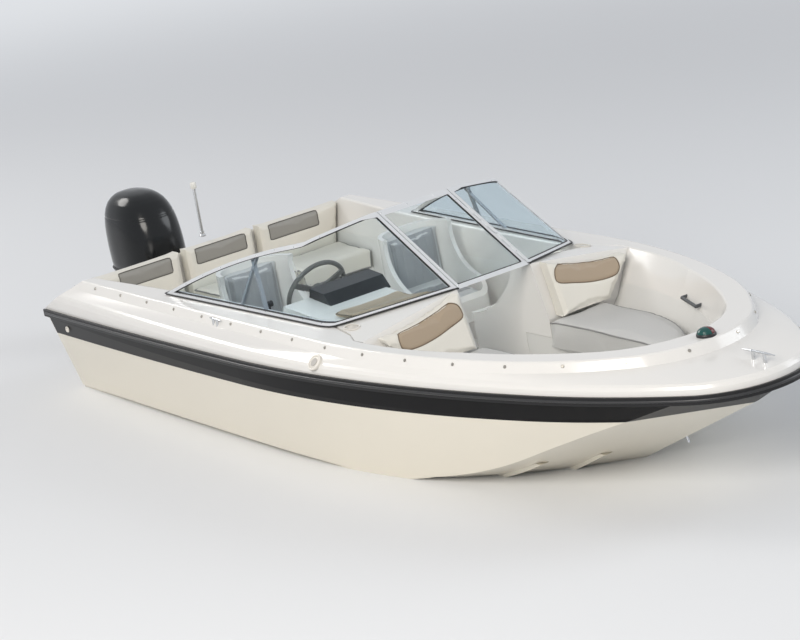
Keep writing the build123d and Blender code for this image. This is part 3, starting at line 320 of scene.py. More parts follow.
# Deck, liner, consoles and bench base: white gelcoat mouldings that are bonded to the hull.
# The liners have a duller, greyer gelcoat than the polished deck.
white_gelcoat = finish("white_gelcoat", (0.80, 0.785, 0.755), 0.2, (1.6, 0.04), (PEEL_SCALE, PEEL_HEIGHT), coat=0.2)
liner_gelcoat = finish("liner_gelcoat", (0.72, 0.715, 0.69), 0.3, (1.6, 0.05), bump=(180, 0.0001))
dress(white_gelcoat, "deck", "console_port", "console_starboard", "bench_base")
dress(liner_gelcoat, "cockpit_liner", "bow_liner")

# Rub rail: a black extruded vinyl rail over the hull-to-deck joint, with a round insert pushed into
# its groove. The insert is drawn along the rail by Geometry Nodes.
RAIL_BLACK = (0.012, 0.012, 0.013)
INSERT_R = 0.0075
INSERT_DROP = -0.004
INSERT_STEP = 0.05
INSERT_STERN_X = 0.03
# Rays at the outside start this far out, straight across the sides and turning round the bow from TURN_X
OUTSIDE = 3.0
TURN_X = 4.2
RAY_STEP = 0.03
RAY_TURN = 3


def node_copy(name):
    """A CAD node's surface with its doubles merged."""
    shape = bmesh.new()
    shape.from_mesh(nodes[name].data)
    bmesh.ops.remove_doubles(shape, verts=shape.verts, dist=0.00002)
    return shape


def surface_of(name):
    """A tree for casting rays at a CAD node."""
    shape = node_copy(name)
    tree = BVHTree.FromBMesh(shape)
    shape.free()
    return tree


def even_steps(points, spacing, closed=False):
    """Points at even steps along a line of points."""
    line = list(points) + ([points[0]] if closed else [])
    total = sum((b - a).length for a, b in zip(line, line[1:]))
    count = max(2, round(total / spacing))
    step = total / count
    result, walked, target = [line[0].copy()], 0.0, step
    for a, b in zip(line, line[1:]):
        length = (b - a).length
        while target <= walked + length + 1e-9 and len(result) < count + 1:
            result.append(a.lerp(b, (target - walked) / length if length else 0))
            target += step
        walked += length
    return result[:-1] if closed else result


def girth(tree, height, spacing, stern_x):
    """Points round the boat's outside at a height, from the starboard quarter round the bow to port."""
    rays = []
    count = int((TURN_X - stern_x) / RAY_STEP)
    for i in range(count):
        rays.append((Vector((stern_x + (TURN_X - stern_x) * i / count, -OUTSIDE, 0)), Vector((0, 1, 0))))
    for degrees in range(-90, 91, RAY_TURN):
        turn = radians(degrees)
        aim = Vector((cos(turn), sin(turn), 0))
        rays.append((Vector((TURN_X, 0, 0)) + aim * OUTSIDE, -aim))
    for place, aim in reversed(rays[:count]):
        rays.append((Vector((place.x, OUTSIDE, 0)), -aim))
    points = []
    for place, aim in rays:
        x = place.x
        for _ in range(3):
            place.z = height(x)
            hit = tree.ray_cast(place, aim)[0]
            x = hit.x if hit else x
        if hit:
            points.append(hit)
    return even_steps(points, spacing)


def put(piece, body, material, crease=35):
    """Finish a new piece: its material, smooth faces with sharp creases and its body."""
    if not piece.data.materials:
        piece.data.materials.append(material)
    piece.data.shade_smooth()
    piece.data.set_sharp_from_angle(angle=radians(crease))
    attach(piece, body)
    return piece


def new_tree(name, values):
    """A Geometry Nodes tree with a geometry input and output and named values (name, kind)."""
    tree = bpy.data.node_groups.new(name, "GeometryNodeTree")
    tree.interface.new_socket("Geometry", in_out="INPUT", socket_type="NodeSocketGeometry")
    for label, kind in values:
        tree.interface.new_socket(label, in_out="INPUT", socket_type=kind)
    tree.interface.new_socket("Geometry", in_out="OUTPUT", socket_type="NodeSocketGeometry")
    return tree, tree.nodes.new("NodeGroupInput").outputs, tree.nodes.new("NodeGroupOutput").inputs


def paint_out(tree, instances, material, output):
    """End a tree: make its instances real, give them the material and send them out."""
    real = add_node(tree, "GeometryNodeRealizeInstances", {0: instances})
    painted = add_node(tree, "GeometryNodeSetMaterial", {"Geometry": real.outputs[0], "Material": material})
    tree.links.new(painted.outputs[0], output)


def settle(piece):
    """Keep the shape that a piece's modifiers give as its plain mesh."""
    settled = bpy.data.meshes.new_from_object(piece.evaluated_get(bpy.context.evaluated_depsgraph_get()))
    piece.modifiers.clear()
    piece.data = settled


def grown(name, points, tree, values, edges=(), aims=None):
    """Run a Geometry Nodes tree on points and keep the result as a plain mesh."""
    mesh = bpy.data.meshes.new(name)
    mesh.from_pydata(points, list(edges), [])
    if aims:
        attribute = mesh.attributes.new("aim", "FLOAT_VECTOR", "POINT")
        for item, aim in zip(attribute.data, aims):
            item.vector = aim
    piece = add_object(name, mesh)
    modifier = piece.modifiers.new(name, "NODES")
    modifier.node_group = tree
    for item in tree.interface.items_tree:
        if item.in_out == "INPUT" and item.name in values:
            modifier[item.identifier] = values[item.name]
    settle(piece)
    return piece


bead_tree, given, result = new_tree(
    "bead",
    (("Radius", "NodeSocketFloat"), ("Sides", "NodeSocketInt"), ("Material", "NodeSocketMaterial")),
)
line = add_node(bead_tree, "GeometryNodeMeshToCurve", {"Mesh": given["Geometry"]})
section = {"Resolution": given["Sides"], "Radius": given["Radius"]}
circle = add_node(bead_tree, "GeometryNodeCurvePrimitiveCircle", section)
swept = add_node(
    bead_tree,
    "GeometryNodeCurveToMesh",
    {"Curve": line.outputs[0], "Profile Curve": circle.outputs[0], "Fill Caps": True},
)
paint_out(bead_tree, swept.outputs[0], given["Material"], result["Geometry"])


def bead(name, points, radius, material, body, closed=False, sides=8):
    """A round bead, welt or gasket along a line of points."""
    edges = [(i, i + 1) for i in range(len(points) - 1)]
    if closed:
        edges.append((len(points) - 1, 0))
    values = {"Radius": radius, "Sides": sides, "Material": material}
    piece = grown(name, points, bead_tree, values, edges)
    return put(piece, body, material, 60)


rail_black = finish("rail_vinyl", RAIL_BLACK, 0.38, (40, 0.3), bump=(700, 0.0001), ior=1.4)
dress(rail_black, "rub_rail")
rail_surface = surface_of("rub_rail")
insert_line = girth(rail_surface, lambda x: sheer_z(x) + INSERT_DROP, INSERT_STEP, INSERT_STERN_X)
insert_black = finish("rail_insert", (0.03, 0.03, 0.032), 0.3, (30, 0.2), bump=(500, 0.00008))
bead("rail_insert", insert_line, INSERT_R, insert_black, "boat")

# Deck snaps: nickel-plated studs riveted round the coaming's outer face for the covers.
# They sit about 0.3 m apart, from the quarters round the bow.
SNAP_HEIGHT = 0.684
SNAP_SPACING = 0.3
SNAP_STERN_X = 0.62
SNAP_R = 0.0085
SNAP_RISE = 0.005
# A stud is a low round flange with a tapered button: shares of its rise and radius
FLANGE_SHARE = 0.35
BUTTON_SHARE = 0.62
stud_tree, given, result = new_tree(
    "studs",
    (("Radius", "NodeSocketFloat"), ("Rise", "NodeSocketFloat"), ("Material", "NodeSocketMaterial")),
)
aim = add_node(stud_tree, "GeometryNodeInputNamedAttribute", {"Name": "aim"}, data_type="FLOAT_VECTOR")
turn = add_node(stud_tree, "FunctionNodeAlignRotationToVector", {"Vector": aim.outputs[0]}, axis="Z")
neck = maths(stud_tree, "MULTIPLY", given["Radius"], BUTTON_SHARE)
brim = maths(stud_tree, "MULTIPLY", given["Rise"], FLANGE_SHARE)
both = add_node(stud_tree, "GeometryNodeJoinGeometry")
for top, depth in ((given["Radius"], brim), (neck, given["Rise"])):
    cone = {"Vertices": 16, "Radius Top": top, "Radius Bottom": given["Radius"], "Depth": depth}
    stud_tree.links.new(add_node(stud_tree, "GeometryNodeMeshCone", cone).outputs[0], both.inputs[0])
spread = add_node(
    stud_tree,
    "GeometryNodeInstanceOnPoints",
    {"Points": given["Geometry"], "Instance": both.outputs[0], "Rotation": turn.outputs[0]},
)
paint_out(stud_tree, spread.outputs[0], given["Material"], result["Geometry"])


def studs(name, places, radius, rise, material, body):
    """Small round fastenings, each a (point, direction)."""
    values = {"Radius": radius, "Rise": rise, "Material": material}
    piece = grown(name, [p for p, _ in places], stud_tree, values, aims=[n for _, n in places])
    return put(piece, body, material, 30)


steel = finish("stainless_steel", (0.66, 0.67, 0.68), 0.16, (12, 0.05), metal=1.0)
nickel = finish("snap_nickel", (0.40, 0.38, 0.34), 0.3, (30, 0.1), metal=1.0)
deck_surface = surface_of("deck")
snap_places = []
for point in girth(deck_surface, lambda x: SNAP_HEIGHT, SNAP_SPACING, SNAP_STERN_X):
    place, facing = deck_surface.find_nearest(point)[:2]
    snap_places.append((place, facing))
studs("deck_snaps", snap_places, SNAP_R, SNAP_RISE, nickel, "boat")

# Deck fittings: polished stainless cleats and eyes, near-black grab handles, and moulded white plastic for the fuel
# cap, the drain and the drink holders' rims. Screws hold the handles and the eyes from inside.
CAP_PLACE = (3.010, -1.024, 0.620)
CAP_TILT = radians(47)
DRAIN_STEP = 0.006
# Profiles of turned parts. Columns: radius, height above the place
CAP_PROFILE = (
    (0.0, -0.004), (0.045, -0.004), (0.0455, 0.004), (0.0445, 0.009), (0.041, 0.0115), (0.036, 0.0115), (0.033, 0.009),
    (0.032, 0.006), (0.031, 0.006), (0.030, 0.0075), (0.022, 0.0085), (0.0, 0.009),
)
CAP_CENTRE = ((0.0, 0.006), (0.0225, 0.006), (0.0225, 0.010), (0.021, 0.0112), (0.0, 0.0112))
DRAIN_PROFILE = (
    (0.0, 0.0), (0.0185, 0.0), (0.0185, 0.003), (0.016, 0.006), (0.011, 0.0065), (0.010, 0.003), (0.0, 0.002),
)


def turned(name, profile, place, aim=(0, 0, 1), steps=40):
    """A turned part: a profile of (radius, height) spun about its axis."""
    basis = Matrix.Translation(place) @ Vector(aim).to_track_quat("Z", "Y").to_matrix().to_4x4()
    shape = bmesh.new()
    rings = []
    for radius, height in profile:
        angles = [2 * pi * k / steps for k in range(steps)] if radius else [0]
        rings.append([shape.verts.new(basis @ Vector((radius * cos(a), radius * sin(a), height))) for a in angles])
    for low, high in zip(rings, rings[1:]):
        for k in range(steps):
            ring = [low[k % len(low)], low[(k + 1) % len(low)], high[(k + 1) % len(high)], high[k % len(high)]]
            shape.faces.new(list(dict.fromkeys(ring)))
    for ring, closing in ((rings[0], True), (rings[-1], False)):
        if len(ring) > 1:
            shape.faces.new(ring[::-1] if closing else ring)
    mesh = bpy.data.meshes.new(name)
    shape.to_mesh(mesh)
    shape.free()
    return add_object(name, mesh)


white_plastic = finish("white_plastic", (0.74, 0.71, 0.65), 0.3, (30, 0.06), bump=(600, 0.00005))
grey_plastic = finish("grey_plastic", (0.42, 0.40, 0.37), 0.4, (30, 0.1), bump=(600, 0.0001))
cap_aim = (0, -sin(CAP_TILT), cos(CAP_TILT))
cap = turned("fuel_cap_rim", CAP_PROFILE, CAP_PLACE, cap_aim)
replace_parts(put(cap, "boat", white_plastic), "fuel_cap")
put(turned("fuel_cap_centre", CAP_CENTRE, CAP_PLACE, cap_aim), "boat", grey_plastic)
drain_low, drain_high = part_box("drain_fitting")
drain_middle = (drain_low + drain_high) / 2
drain_place = Vector((drain_middle.x, drain_low.y + DRAIN_STEP, drain_middle.z))
drain = turned("drain_fitting_rim", DRAIN_PROFILE, drain_place, (0, -1, 0))
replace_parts(put(drain, "boat", white_plastic), "drain_fitting")
dress(white_plastic, "drink_holders")
dress(steel, "cleats", "tow_eyes", "seat_pedestal_port", "seat_pedestal_starboard")
handle_grey = finish("handle_grey", (0.06, 0.065, 0.07), 0.4, (20, 0.1), bump=(500, 0.0001))
dress(handle_grey, "grab_handles")

# Lights: the bow light has a black foot and a dome that is green to starboard and red to port.
# The stern light is a round lens on a pole that plugs into a base on the after deck.
DOME_R = 0.0435
LIGHT_FOOT_RISE = 0.0155
DOME_SINK = 0.003
LENS_GREEN, LENS_RED = (0.002, 0.07, 0.062, 1), (0.12, 0.004, 0.004, 1)
LENS_RIBS, LENS_RIB_DEPTH = 120, 0.0004
LIGHT_FOOT = (
    (0.0, 0.0), (0.048, 0.0), (0.048, 0.009), (0.0468, 0.0125), (0.0445, LIGHT_FOOT_RISE), (0.0, LIGHT_FOOT_RISE),
)
# The pole's foot counts up from its base; its head and the lens count down from the top
POLE_FOOT = (
    (0.0, 0.0), (0.020, 0.0), (0.020, 0.006), (0.013, 0.014), (0.0125, 0.030), (0.009, 0.032), (0.009, 0.034),
)
POLE_HEAD = ((0.009, -0.048), (0.0125, -0.046), (0.0125, -0.040), (0.0, -0.040))
POLE_LENS = (
    (0.0, -0.040), (0.0165, -0.040), (0.0185, -0.036), (0.0185, -0.010), (0.0165, -0.004), (0.010, -0.001), (0.0, 0.0),
)
POLE_STEPS = 28
light_low, light_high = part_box("bow_light")
light_x = (light_low.x + light_high.x) / 2
light_place = (light_x, 0, light_low.z)
bow_foot = turned("bow_light_foot", LIGHT_FOOT, light_place)
helm_black = finish("helm_black", (0.016, 0.016, 0.018), 0.38, (20, 0.2), bump=(900, 0.00015))
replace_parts(put(bow_foot, "boat", helm_black), "bow_light")
light_rise = light_high.z - light_low.z
dome_rise = light_rise - LIGHT_FOOT_RISE
dome_profile = [(0.0, LIGHT_FOOT_RISE - DOME_SINK)]
for degrees in range(0, 90, 6):
    turn = radians(degrees)
    dome_profile.append((DOME_R * cos(turn), LIGHT_FOOT_RISE + dome_rise * sin(turn)))
dome_profile.append((0.0, light_rise))
lens, tree, shader = add_material("bow_lens")
place = object_place(tree)
axes = add_node(tree, "ShaderNodeSeparateXYZ", {0: place}).outputs
to_port = maths(tree, "GREATER_THAN", axes["Y"], 0.0)
tree.links.new(two_colours(tree, to_port, LENS_GREEN, LENS_RED), shader.inputs["Base Color"])
waves = {"Vector": place, "Scale": LENS_RIBS, "Distortion": 0.0}
ribs = add_node(tree, "ShaderNodeTexWave", waves, bands_direction="Z")
emboss(tree, shader, ribs.outputs["Fac"], LENS_RIB_DEPTH, 0.5)
shader.inputs["Roughness"].default_value = 0.08
put(turned("bow_light_dome", dome_profile, light_place), "boat", lens)

pole_low, pole_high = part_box("stern_light")
pole_x, pole_y = (pole_low.x + pole_high.x) / 2, (pole_low.y + pole_high.y) / 2
pole_rise = pole_high.z - pole_low.z
pole_profile = POLE_FOOT + tuple((radius, pole_rise + height) for radius, height in POLE_HEAD)
pole = turned("stern_light_pole", pole_profile, (pole_x, pole_y, pole_low.z), steps=POLE_STEPS)
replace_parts(put(pole, "boat", steel), "stern_light")
lens_white = finish("stern_lens", (0.80, 0.79, 0.74), 0.12, (20, 0.02), bump=(400, 0.00005))
globe = turned("stern_light_lens", POLE_LENS, (pole_x, pole_y, pole_high.z), steps=POLE_STEPS)
put(globe, "boat", lens_white)

# Windshield: three panes of tempered glass in extruded aluminium rails. Black rubber gaskets hold the
# panes, a wider one seals the rail on the deck, and small screws run along the rails.
GASKET_R = 0.0042
FOOT_GASKET_R = 0.005
SCREW_R = 0.0032
SCREW_RISE = 0.0014
SCREW_SPACING = 0.17
# Screws stand outside the pane's edge, found from above the rail and only where it faces as the pane does
FRAME_MIDDLE = 0.010
ABOVE_RAIL = 0.05
FACES_ALIKE = 0.5
GASKET_STEP = 0.025
FOOT_GASKET_STEP = 0.03
FOOT_GASKET_RISE = 0.004


def rim(name, direction, crease=0.5):
    """The outline of the largest face of a node that looks in a direction, as a closed line of points."""
    shape = node_copy(name)
    aim = Vector(direction).normalized()
    seen, best, best_area = set(), None, 0
    for first in shape.faces:
        if first in seen:
            continue
        region, queue = set(), [first]
        seen.add(first)
        while queue:
            face = queue.pop()
            region.add(face)
            for edge in face.edges:
                if len(edge.link_faces) == 2 and edge.calc_face_angle() < crease:
                    for other in edge.link_faces:
                        if other not in seen:
                            seen.add(other)
                            queue.append(other)
        area = sum(face.normal.dot(aim) * face.calc_area() for face in region)
        if area > best_area:
            best, best_area = region, area
    links = {}
    for face in best:
        for loop in face.loops:
            if not all(other in best for other in loop.edge.link_faces):
                links[loop.vert] = loop.link_loop_next.vert
    outlines = []
    while links:
        start = min(links, key=lambda vert: vert.index)
        outline, here = [], start
        while here in links:
            outline.append(here.co.copy())
            here = links.pop(here)
        outlines.append(outline)
    shape.free()
    return max(outlines, key=lambda outline: sum((b - a).length for a, b in zip(outline, outline[1:])))


bright_aluminium = finish("bright_aluminium", (0.78, 0.79, 0.80), 0.3, (8, 0.04), bump=(900, 0.00003), metal=0.6)
dark_aluminium = finish("dark_aluminium", (0.36, 0.38, 0.41), 0.35, (8, 0.08), bump=(900, 0.00005), metal=0.7)
gasket_rubber = finish("gasket_rubber", (0.014, 0.014, 0.015), 0.5, (60, 0.2), bump=(800, 0.0001))
dress(bright_aluminium, "windshield_frame_port", "windshield_frame_starboard", "gate_frame")
dress(dark_aluminium, "windshield_braces")
window_glass, tree, shader = add_material("window_glass")
shader.inputs["Base Color"].default_value = (0.84, 0.91, 0.94, 1)
shader.inputs["Roughness"].default_value = 0.02
shader.inputs["Transmission Weight"].default_value = 1.0
shader.inputs["IOR"].default_value = 1.08
dress(window_glass, "windshield_glass_port", "windshield_glass_starboard", "gate_glass")
# Columns: pane, its frame, body, direction that its outer face looks in
PANES = (
    ("windshield_glass_port", "windshield_frame_port", "boat", (0.45, 0.7, 0.55)),
    ("windshield_glass_starboard", "windshield_frame_starboard", "boat", (0.45, -0.7, 0.55)),
    ("gate_glass", "gate_frame", "gate", (0.47, 0, 0.88)),
)
for pane, frame_node, body, outside in PANES:
    frame_surface = surface_of(frame_node)
    for side, facing in (("outer", 1), ("inner", -1)):
        outline = rim(pane, Vector(outside) * facing)
        line = even_steps(outline, GASKET_STEP, closed=True)
        bead(f"{pane}_gasket_{side}", line, GASKET_R, gasket_rubber, body, closed=True)
    outline = rim(pane, outside)
    middle = sum(outline, Vector()) / len(outline)
    screws = []
    for point in even_steps(outline, SCREW_SPACING, closed=True):
        spread = point + (point - middle).normalized() * FRAME_MIDDLE + Vector(outside) * ABOVE_RAIL
        place, facing = frame_surface.find_nearest(spread)[:2]
        if facing.dot(Vector(outside)) > FACES_ALIKE:
            screws.append((place, facing))
    studs(f"{pane}_screws", screws, SCREW_R, SCREW_RISE, steel, body)
for side in ("port", "starboard"):
    foot = rim(f"windshield_frame_{side}", (0, 0, -1))
    foot_line = [p + Vector((0, 0, FOOT_GASKET_RISE)) for p in even_steps(foot, FOOT_GASKET_STEP, closed=True)]
    bead(f"foot_gasket_{side}", foot_line, FOOT_GASKET_R, gasket_rubber, "boat", closed=True)

# Upholstery: vinyl sewn over foam, blown up from each seat's solid by cloth pressure and kept within reach of it.
# Welts cover the seams, and the backs have a sewn-in panel of another colour, which on the after bench is painted
# shade.
VOXEL = 0.012
SHRINK = 0.007
PRESSURE = 4
SOFT_FRAMES = 20
PUFF_CAP = 0.016
# How far a soft and a firm pad may stand out of their solids, and how squarely a face must rest to stay flat
PROUD, FIRM_PROUD = 0.007, 0.004
FLAT_REST = 0.7
WELT_R, PANEL_WELT_R = 0.0042, 0.003
WELT_LIFT = 0.2
# Sewn panels: the seam's groove, how far beyond the outline it reaches, and where rays at the front start
SEAM_GROOVE, SEAM_WIDTH = 0.003, 0.008
SEAM_MARGIN = 0.04
FRONT = 0.2
AHEAD_X = 5
GREY_VINYL = (0.56, 0.56, 0.545)
WHITE_VINYL = (0.76, 0.735, 0.665)
TAN_VINYL = (0.40, 0.315, 0.225)
# The after bench's panel grey is painted shade: the panel is seen against the light.
SHADED_PANEL_GREY = (0.30, 0.29, 0.265)


def stuffed(name, node, body, material, rest=(0, 0, -1), proud=PROUD):
    """A padded piece in the place of a soft solid; it stays flat where it rests."""
    shape = node_copy(node)
    solid = BVHTree.FromBMesh(shape)
    mesh = bpy.data.meshes.new(name)
    shape.to_mesh(mesh)
    shape.free()
    piece = add_object(name, mesh)
    remesh = piece.modifiers.new("remesh", "REMESH")
    remesh.mode = "VOXEL"
    remesh.voxel_size = VOXEL
    settle(piece)
    moves = [vert.normal * SHRINK for vert in piece.data.vertices]
    for vert, move in zip(piece.data.vertices, moves):
        vert.co -= move
    start = [vert.co.copy() for vert in piece.data.vertices]
    cloth = piece.modifiers.new("cloth", "CLOTH")
    cloth.settings.quality = 4
    cloth.settings.use_pressure = True
    cloth.settings.uniform_pressure_force = PRESSURE
    cloth.settings.effector_weights.gravity = 0
    cloth.collision_settings.use_collision = False
    cloth.point_cache.frame_end = SOFT_FRAMES
    for frame_number in range(1, SOFT_FRAMES + 1):
        scene.frame_set(frame_number)
    settle(piece)
    scene.frame_set(1)
    down = Vector(rest)
    for vert, first in zip(piece.data.vertices, start):
        move = vert.co - first
        if move.length > PUFF_CAP:
            vert.co = first + move * (PUFF_CAP / move.length)
        place, facing = solid.find_nearest(vert.co)[:2]
        out = (vert.co - place).dot(facing)
        allowed = 0 if facing.dot(down) > FLAT_REST else proud
        if out > allowed:
            vert.co -= facing * (out - allowed)
    divide = piece.modifiers.new("divide", "SUBSURF")
    divide.levels = divide.render_levels = 1
    settle(piece)
    piece.data.materials.clear()
    put(piece, body, material, 75)
    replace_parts(piece, node)
    return piece


def skin_of(piece):
    """A tree for finding places on a piece's surface."""
    points = [vert.co for vert in piece.data.vertices]
    return BVHTree.FromPolygons(points, [face.vertices for face in piece.data.polygons])


def welt(name, outline, skin, material, body, spacing=0.015, radius=WELT_R):
    """A corded seam laid along an outline on a padded piece."""
    line = []
    for point in even_steps(outline, spacing, closed=True):
        place, facing = skin.find_nearest(point)[:2]
        line.append(place + facing * radius * WELT_LIFT)
    return bead(name, line, radius, material, body, closed=True, sides=6)


def smooth(a, b, c, d, t):
    """A value between b and c on a smooth curve through a, b, c and d."""
    return 0.5 * (2 * b + (c - a) * t + (2 * a - 5 * b + 4 * c - d) * t**2 + (3 * b - a - 3 * c + d) * t**3)


def closed_curve(corners, steps=8):
    """A smooth closed line through corners, each (across, up)."""
    count, line = len(corners), []
    for i in range(count):
        a, b, c, d = (Vector(corners[(i + k) % count]) for k in (-1, 0, 1, 2))
        line += [smooth(a, b, c, d, k / steps) for k in range(steps)]
    return line


def distance_in(point, line):
    """Distance from a flat point to a closed flat line, below zero inside."""
    near, inside = 1e9, False
    for a, b in zip(line, line[1:] + line[:1]):
        side = b - a
        share = max(0, min(1, (point - a).dot(side) / side.length_squared))
        near = min(near, (point - a - side * share).length)
        if (a.y > point.y) != (b.y > point.y) and point.x < a.x + side.x * (point.y - a.y) / side.y:
            inside = not inside
    return -near if inside else near


def sew_panel(piece, name, line, material, body):
    """Sew a panel into a back's front face: mark it, press its seam in and lay a welt on it."""
    marks = piece.data.attributes.new("inset", "FLOAT", "POINT")
    low = [min(p[i] for p in line) - SEAM_MARGIN for i in (0, 1)]
    high = [max(p[i] for p in line) + SEAM_MARGIN for i in (0, 1)]
    facings = [vert.normal.copy() for vert in piece.data.vertices]
    for vert, facing, mark in zip(piece.data.vertices, facings, marks.data):
        mark.value = 1.0
        flat = Vector((vert.co.y, vert.co.z))
        if facing.x > FRONT and low[0] < flat.x < high[0] and low[1] < flat.y < high[1]:
            mark.value = distance_in(flat, line)
            vert.co -= facing * SEAM_GROOVE * exp(-((mark.value / SEAM_WIDTH) ** 2))
    skin = skin_of(piece)
    seam = []
    for flat in line:
        hit = skin.ray_cast(Vector((AHEAD_X, flat.x, flat.y)), Vector((-1, 0, 0)))[0]
        if hit:
            seam.append(hit)
    return welt(name, seam, skin, material, body, radius=PANEL_WELT_R)


grey_vinyl = finish("grey_vinyl", GREY_VINYL, 0.45, (5, 0.05), grained=(420, 0.0004))
white_vinyl = finish("white_vinyl", WHITE_VINYL, 0.42, (5, 0.04), grained=(420, 0.0004))
back_vinyl = finish("back_vinyl", WHITE_VINYL, 0.42, (5, 0.04), grained=(420, 0.0004), inset=TAN_VINYL)
# The bench backs' panel grey is painted shade.
bench_vinyl = finish("bench_vinyl", WHITE_VINYL, 0.42, (5, 0.04), grained=(420, 0.0004), inset=SHADED_PANEL_GREY)
tan_vinyl = finish("tan_vinyl", TAN_VINYL, 0.5, (6, 0.08), grained=(380, 0.0005))
dark_welt = finish("dark_welt", (0.10, 0.095, 0.085), 0.5, (40, 0.1), bump=(900, 0.0001))
grey_welt = finish("grey_welt", (0.26, 0.26, 0.255), 0.5, (40, 0.1), bump=(900, 0.0001))
tan_welt = finish("tan_welt", (0.17, 0.125, 0.08), 0.5, (40, 0.1), bump=(900, 0.0001))

# Bow seats: a cushion on each side of the foot room, with a rounded bolster along it, and a back
# against each console with a tan panel sewn into its upper part.
# Panel corners on the starboard back: across, up
BOW_PANEL = (
    (-0.690, 0.715), (-0.650, 0.736), (-0.570, 0.752), (-0.470, 0.765), (-0.370, 0.766), (-0.320, 0.752),
    (-0.303, 0.715), (-0.312, 0.682), (-0.400, 0.657), (-0.500, 0.634), (-0.610, 0.622), (-0.690, 0.632),
    (-0.706, 0.675),
)
for side, sign in (("port", -1), ("starboard", 1)):
    node = f"bow_cushion_{side}"
    cushion = stuffed(f"bow_seat_{side}", node, "boat", grey_vinyl)
    welt(f"bow_seat_welt_{side}", rim(node, (0, 0, 1)), skin_of(cushion), grey_welt, "boat")
    node = f"bow_backrest_{side}"
    back = stuffed(f"bow_back_{side}", node, "boat", back_vinyl, rest=(-1, 0, 0))
    panel = closed_curve([(across * sign, up) for across, up in BOW_PANEL])
    sew_panel(back, f"bow_panel_welt_{side}", panel, tan_welt, "boat")

# After bench: three cushions on a moulded base and three backs on the bulkhead behind them,
# each back with a sewn panel across its top, whose darker grey is painted shade of a panel seen against the light.
PANEL_Y = 0.52
PANEL_HALF = (0.175, 0.045)
PANEL_Z = 0.625
PANEL_POINTS = 16
PANEL_SQUARE = 1.6
for side, sign in (("port", 1), ("middle", 0), ("starboard", -1)):
    node = f"bench_cushion_{side}"
    cushion = stuffed(f"bench_seat_{side}", node, "boat", white_vinyl, proud=FIRM_PROUD)
    welt(f"bench_seat_welt_{side}", rim(node, (0, 0, 1)), skin_of(cushion), grey_welt, "boat")
    node = f"bench_backrest_{side}"
    back = stuffed(f"bench_back_{side}", node, "boat", bench_vinyl, rest=(-1, 0, 0), proud=FIRM_PROUD)
    half_y, half_z = PANEL_HALF
    corners = []
    for k in range(PANEL_POINTS):
        turn = 2 * pi * (k + 0.5) / PANEL_POINTS
        across = sign * PANEL_Y + half_y * max(-1, min(1, PANEL_SQUARE * cos(turn)))
        corners.append((across, PANEL_Z + half_z * max(-1, min(1, PANEL_SQUARE * sin(turn)))))
    sew_panel(back, f"bench_panel_welt_{side}", closed_curve(corners), dark_welt, "boat")

# Bucket seats: padded cushions with sewn channels in a white moulded shell on a steel pedestal. The channelled area's
# darker grey is partly the vinyl's own colour and partly painted shade.
CHANNEL_SPACING = 0.055
CHANNEL_DEPTH = 0.004
CHANNEL_WIDTH = 0.006
CHANNEL_REACH = 0.15
SEAT_Y = 0.43
# Channels lie on the cushion below one height and on the back above the other, where they face squarely
CUSHION_TOP_Z, BACK_FOOT_Z = 0.5, 0.45
SQUARELY = 0.6
# The channels' darker grey is partly the vinyl's own colour and partly painted shade.
BUCKET_VINYL = (0.60, 0.61, 0.61)
CHANNEL_GREY_AND_SHADE = (0.36, 0.37, 0.38)
bucket_vinyl = finish("bucket_vinyl", BUCKET_VINYL, 0.45, (5, 0.05), grained=(420, 0.0004), inset=CHANNEL_GREY_AND_SHADE)
for side, sign in (("port", 1), ("starboard", -1)):
    body = f"seat_{side}"
    pads = stuffed(f"bucket_pads_{side}", f"seat_cushion_{side}", body, bucket_vinyl)
    marks = pads.data.attributes.new("inset", "FLOAT", "POINT")
    low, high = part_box(f"seat_cushion_{side}")
    centre_x = (low.x + high.x) / 2
    facings = [vert.normal.copy() for vert in pads.data.vertices]
    for vert, facing, mark in zip(pads.data.vertices, facings, marks.data):
        across = vert.co.y - sign * SEAT_Y
        on_seat = facing.z > SQUARELY and vert.co.z < CUSHION_TOP_Z
        on_back = facing.x > SQUARELY and vert.co.z > BACK_FOOT_Z
        reach = abs(across) - CHANNEL_REACH if on_seat or on_back else 1.0
        mark.value = max(reach, abs(vert.co.x - centre_x) - CHANNEL_REACH) if on_seat else reach
        if mark.value < 0.0:
            gap = abs((across / CHANNEL_SPACING) % 1 - 0.5) * CHANNEL_SPACING
            vert.co -= facing * CHANNEL_DEPTH * exp(-((gap / CHANNEL_WIDTH) ** 2))
dress(white_gelcoat, "seat_shell_port", "seat_shell_starboard")

# Dash pad: tan vinyl over foam on top of the helm console, inside the windshield.
pad = stuffed("helm_dash_pad", "dash_pad", "boat", tan_vinyl, proud=FIRM_PROUD)
welt("dash_pad_welt", rim("dash_pad", (0, 0, 1)), skin_of(pad), tan_welt, "boat")

# Helm: a moulded black binnacle with round gauges in bright bezels and a row of rocker switches.
# The wheel has a soft grey rim on three spokes, and the throttle box sits on the side of the boat.
dress(helm_black, "instrument_panel", "throttle_control", "steering_column")
wheel_grey = finish("wheel_grey", (0.17, 0.165, 0.155), 0.5, (25, 0.1), grained=(500, 0.0002))
dress(wheel_grey, "steering_wheel")
# Columns of the gauges: across from the wheel's centre, height, radius
GAUGES = ((-0.125, 0.742, 0.030), (-0.045, 0.745, 0.040), (0.045, 0.745, 0.040), (0.125, 0.742, 0.030))
# Columns of the profiles: share of the radius, height above the panel
BEZEL_PROFILE = ((0.0, -0.002), (1, -0.002), (1, 0.006), (0.96, 0.008), (0.88, 0.008), (0.85, 0.004), (0.0, 0.004))
DIAL_PROFILE = ((0.0, 0.003), (0.85, 0.003), (0.85, 0.0048), (0.0, 0.0048))
